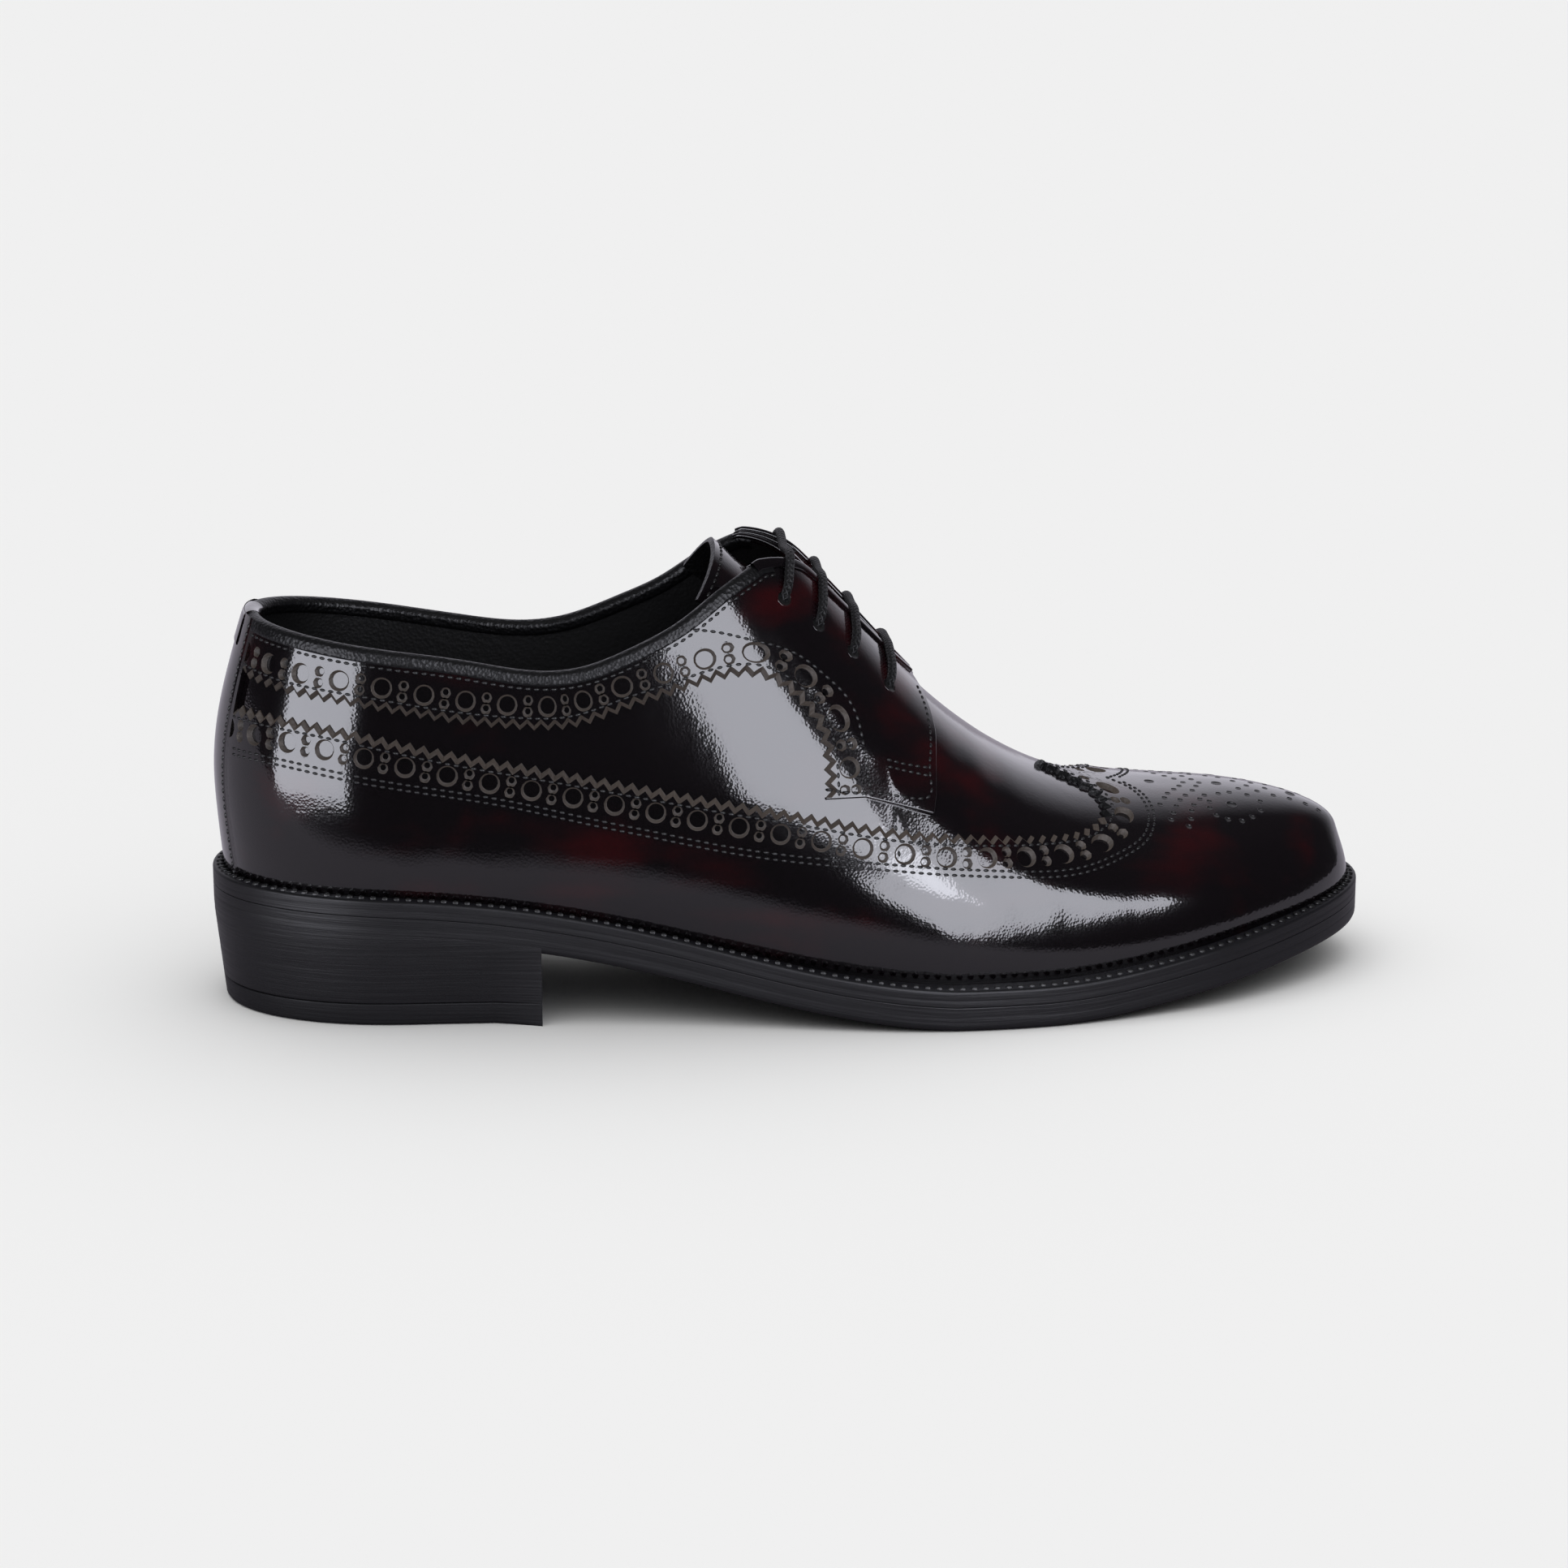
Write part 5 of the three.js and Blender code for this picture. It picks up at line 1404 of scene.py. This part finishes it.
class SHOE_OT_overlays(bpy.types.Operator):
    """Build the long wing, the facings and the back strip with their punched, pinked edges and seams"""

    bl_idname = "shoe.overlays"
    bl_label = "Overlays"

    def execute(self, context):
        holes, thread = context.scene.shoe_holes, context.scene.shoe_thread
        step = thread.step / MM
        seams, wing, dots = [], [], []
        for side, node_name in ((OUTER, "facing_outer"), (INNER, "facing_inner")):
            band, patches = wing_patches(side, holes)
            wing += patches
            at, up, _ = smooth_line(WING_ROW, side, 300)
            row_at, row_up = parallel_rows(at, up, side, side, np.array([0, 0.75, 1.5]))
            lower = np.stack([row_at[-1], row_up[-1]], -1)[::6]
            seams += [seam_beside(band, SEAM_IN_BAND, step), seam_on_last(WING_ROW, side, step)]
            seams.append(seam_on_last(lower, side, step))
            band, patches = facing_patches(side, holes)
            make_piece(node_name + "_leather", patches, ["polished_leather", "cut_leather"],
                       [node_name])
            seams.append(seam_beside(band, SEAM_IN_BAND, step))
            seams += [seam_on_last(row, side, step) for row in (FACING_ROW, *FACING_SEAMS)]
            seams.append(seam_on_last(VAMP_SEAM, side, step, 0.0))
            for places, radius in (
                (MEDALLION_LARGE, LARGE_DOT), (MEDALLION_SMALL, SMALL_DOT), (LACE_HOLES, LACE_HOLE),
            ):
                dots += pinholes(places, side, radius)
        dots += pinholes(MEDALLION_SMALL_CENTRE, OUTER, SMALL_DOT)
        dots += pinholes(MEDALLION_LARGE_CENTRE, OUTER, LARGE_DOT)
        # The dots' floors take the dark lining finish as painted shade in place of the holes' depth
        make_piece("punched_dots", dots, ["polished_leather", "lining_leather"])
        # The third finish, the dull black binding leather, paints the band's cut edge near the toe black as
        # painted shade
        make_piece("wing_leather", wing, ["polished_leather", "cut_leather", "binding_leather"],
                   ["wing_overlay"])
        strip, lines = back_strip_patches()
        seams += [even_seam(*line, step) for line in lines]
        make_piece("back_strip_leather", strip, ["polished_leather"], ["back_strip"])
        made = stitches(seams, thread.length / MM, thread.width / MM, STITCH_RISE)
        make_piece("upper_stitches", [made], ["thread"])
        return {"FINISHED"}


class SHOE_OT_collar(bpy.types.Operator):
    """Build the rolled collar binding, the lace edges and the tongue"""

    bl_idname = "shoe.collar"
    bl_label = "Collar and tongue"

    def execute(self, context):
        thread = context.scene.shoe_thread
        points, ways, up = collar_path()
        rolled = profile_along(points, ways, up, collar_roll(0.0))
        make_piece("collar_binding", [rolled], ["binding_leather"])
        run = run_along(points)
        middle = np.abs(run - run[np.argmin(points[:, 0])]) < 5.5
        tab = profile_along(points[middle], ways[middle], up[middle], collar_roll(0.45, 9.0))
        sections = tab[0].reshape(middle.sum(), -1, 3)
        rims = [turned_out(grid_patch(np.stack([row, (row + row.mean(0)) / 2])), points[middle].mean(0))
                for row in (sections[0], sections[-1])]
        make_piece("back_tab", [tab] + rims, ["polished_leather"])
        turn = np.radians(np.linspace(-90, 90, 9))
        rolls = [(centre - radius * math.sin(a), radius * math.cos(a) + 0.15)
                 for centre, radius in LACE_EDGE_ROLLS for a in turn]
        profile = [(1.5, -2.2), (2.2, -2.0), *rolls, (-2.1, -0.8)]
        edges = [profile_along(*lace_edge_path(side), profile) for side in (OUTER, INNER)]
        make_piece("lace_edges", edges, ["polished_leather"])
        patches, top, way = tongue_patches()
        make_piece("tongue_leather", patches, ["polished_leather", "binding_leather"],
                   ["tongue"])
        step = thread.step / MM
        seams = [
            even_seam(points - up * COLLAR_SEAM_DROP + ways * OVERLAY, ways, step),
            even_seam(top[2] + way[2] * 0.05, way[2], step),
        ]
        made = stitches(seams, thread.length / MM, thread.width / MM, STITCH_RISE)
        make_piece("collar_stitches", [made], ["thread"])
        return {"FINISHED"}


class SHOE_OT_laces(bpy.types.Operator):
    """Build the lace: four bars through the holes, with their ends under the facings"""

    bl_idname = "shoe.laces"
    bl_label = "Laces"

    def execute(self, context):
        radius = context.scene.shoe_thread.lace / 2 / MM
        rest = OVERLAY + radius
        parts = np.array([0.0, 0.0, 0.02, 0.22, 0.6, 0.93])
        heights = np.array([-3.2, -1.2, 1.0, rest, rest + 0.1, rest + 0.15])
        for index, (at, up) in enumerate(LACE_HOLES, 1):
            outer, inner = (
                skin(at, up + (float(top_share(at, side)) - up) * parts, side, heights)[0]
                for side in (OUTER, INNER)
            )
            middle = (outer[-1] + inner[-1]) / 2 + np.array([0, 0, 0.1])
            path = smooth_path(np.concatenate([outer, middle[None], inner[::-1]]), LACE_RINGS)
            make_piece(f"lace_{index}", [tube(path, radius, LACE_CORNERS)], ["waxed_cord"],
                       [f"lace_bar_{index}"])
        return {"FINISHED"}


class SHOE_OT_sole(bpy.types.Operator):
    """Build the welt, the outsole, the heel and its top lift"""

    bl_idname = "shoe.sole"
    bl_label = "Sole and heel"

    def execute(self, context):
        path = plan_path(WELT_MARGIN)
        low, high, corner = OUTSOLE_THICKNESS, EDGE_THICKNESS, 0.9
        turned = [(corner * (math.cos(a) - 1), high + corner * (math.sin(a) - 1))
                  for a in np.radians(np.linspace(0, 90, 5))]
        welt = [
            (PLATE_REACH, low), (-0.12, low), (-0.04, low + 0.12), (0.0, low + 0.3), (0.0, low + 1.7),
            (-0.1, low + 1.85), (0.0, low + 2.0), *turned, (-2.0, high), (-3.2, high - 0.12),
            (-4.2, high - 0.02), (PLATE_REACH, high),
        ]
        make_piece("welt_and_midsole", plate_patches(path, welt), ["welt_leather"],
                   ["welt_midsole"])
        sole = [
            (PLATE_REACH, 0.0), (-2.0, 0.0), (-1.0, 0.12), (-0.35, 0.5), (-0.08, 1.1), (0.0, 2.0), (0.0, 3.6),
            (-0.12, 3.75), (0.0, 3.9), (0.0, low - 0.25), (-0.04, low - 0.1), (-0.12, low),
            (PLATE_REACH, low),
        ]
        make_piece("outsole_leather", plate_patches(path, sole), ["welt_leather"],
                   ["outsole"])
        wall, ways = heel_wall(path)
        lift, seat = TOP_LIFT_THICKNESS, HEEL_HEIGHT
        rows = [(0.0, -0.9), (0.25, -0.35), (0.9, 0.0), (lift - 0.35, 0.0), (lift - 0.1, -0.25), (lift, -0.5)]
        make_piece("top_lift_rubber", lift_patches(wall, ways, rows), ["heel_rubber"],
                   ["top_lift"])
        rows = [(lift, -0.5), (lift + 0.15, -0.2), (lift + 0.5, 0.0)]
        for groove in LIFT_GROOVES:
            rows += [(groove - 0.15, 0.0), (groove, -0.03), (groove + 0.15, 0.0)]
        rows += [(height, 0.0) for height in (seat * 0.75, seat * 0.85, seat * 0.95, seat + HEEL_LAP)]
        make_piece("heel_stack_leather", lift_patches(wall, ways, rows), ["welt_leather"],
                   ["heel_stack"])
        inset = path - plan_ways(path) * WELT_SEAM_INSET
        line = np.concatenate([inset, (lift_at_x(path[:, 0]) + high)[:, None]], 1)
        ring = np.vstack([line, line[:1]])
        step = context.scene.shoe_thread.welt_step / MM
        seam = even_seam(ring, np.broadcast_to(UPWARD, ring.shape), step, 0, 1)
        make_piece("welt_stitches", [stitches([seam], *WELT_STITCH)], ["thread"])
        return {"FINISHED"}


class SHOE_OT_insole(bpy.types.Operator):
    """Build the sock over the insole"""

    bl_idname = "shoe.insole"
    bl_label = "Insole sock"

    def execute(self, context):
        low, high = EDGE_THICKNESS, EDGE_THICKNESS + INSOLE_THICKNESS
        profile = [
            (PLATE_REACH, low), (0.0, low), (0.3, high - 1.0), (0.0, high - 0.3), (-0.6, high),
            (PLATE_REACH, high),
        ]
        sock = plate_patches(plan_path(lambda at: INSOLE_MARGIN), profile)
        make_piece("insole_sock", sock, ["lining_leather"], ["insole"])
        return {"FINISHED"}


class SHOE_OT_stage(bpy.types.Operator):
    """Build the floor, the lights and the camera"""

    bl_idname = "shoe.stage"
    bl_label = "Stage"

    def execute(self, context):
        stage = context.scene.shoe_stage
        size = stage.floor
        mesh = bpy.data.meshes.new("floor")
        corners = [(-size, -size, 0), (size, -size, 0), (size, size, 0), (-size, size, 0)]
        mesh.from_pydata(corners, [], [(0, 1, 2, 3)])
        floor = bpy.data.objects.new("floor", mesh)
        context.scene.collection.objects.link(floor)
        mesh.materials.append(floor_paper())
        context.scene.world = studio_world()
        for box in SOFTBOXES:
            softbox(*box)
        camera = bpy.data.cameras.new("camera")
        camera.sensor_width = 36.0
        camera.lens = stage.lens
        view = bpy.data.objects.new("camera", camera)
        context.scene.collection.objects.link(view)
        turn, height = math.radians(CAMERA_TURN), math.radians(CAMERA_HEIGHT)
        level = math.cos(height)
        way = Vector((math.sin(turn) * level, math.cos(turn) * level, -math.sin(height)))
        view.location = Vector(TARGET) - way * stage.distance
        view.rotation_mode = "QUATERNION"
        view.rotation_quaternion = (Vector(TARGET) - view.location).to_track_quat("-Z", "Y")
        context.scene.camera = view
        context.scene.view_settings.view_transform = "Standard"
        return {"FINISHED"}


class SHOE_PT_panel(bpy.types.Panel):
    """Lists the shoe's pieces and sizes"""

    bl_idname = "SHOE_PT_panel"
    bl_label = "Brogue shoe"
    bl_space_type = "VIEW_3D"
    bl_region_type = "UI"
    bl_category = "Shoe"

    def draw(self, context):
        for group in GROUPS:
            box = self.layout.box()
            settings = getattr(context.scene, group)
            for name in type(settings).__annotations__:
                box.prop(settings, name)
        for operator in OPERATORS:
            self.layout.operator(operator.bl_idname)


GROUPS = {
    "shoe_holes": ShoeHoles,
    "shoe_thread": ShoeThread,
    "shoe_finishes": ShoeFinishes,
    "shoe_stage": ShoeStage,
}
OPERATORS = (
    SHOE_OT_upper, SHOE_OT_overlays, SHOE_OT_collar, SHOE_OT_laces, SHOE_OT_insole, SHOE_OT_sole,
    SHOE_OT_stage,
)


def register():
    for made in (*GROUPS.values(), *OPERATORS, SHOE_PT_panel):
        bpy.utils.register_class(made)
    for name, group in GROUPS.items():
        setattr(bpy.types.Scene, name, PointerProperty(type=group))


def unregister():
    for name in GROUPS:
        delattr(bpy.types.Scene, name)
    for made in reversed((*GROUPS.values(), *OPERATORS, SHOE_PT_panel)):
        bpy.utils.unregister_class(made)


def main():
    register()
    for operator in ("upper", "overlays", "collar", "laces", "insole", "sole", "stage"):
        getattr(bpy.ops.shoe, operator)()


if __name__ == "__main__":
    main()
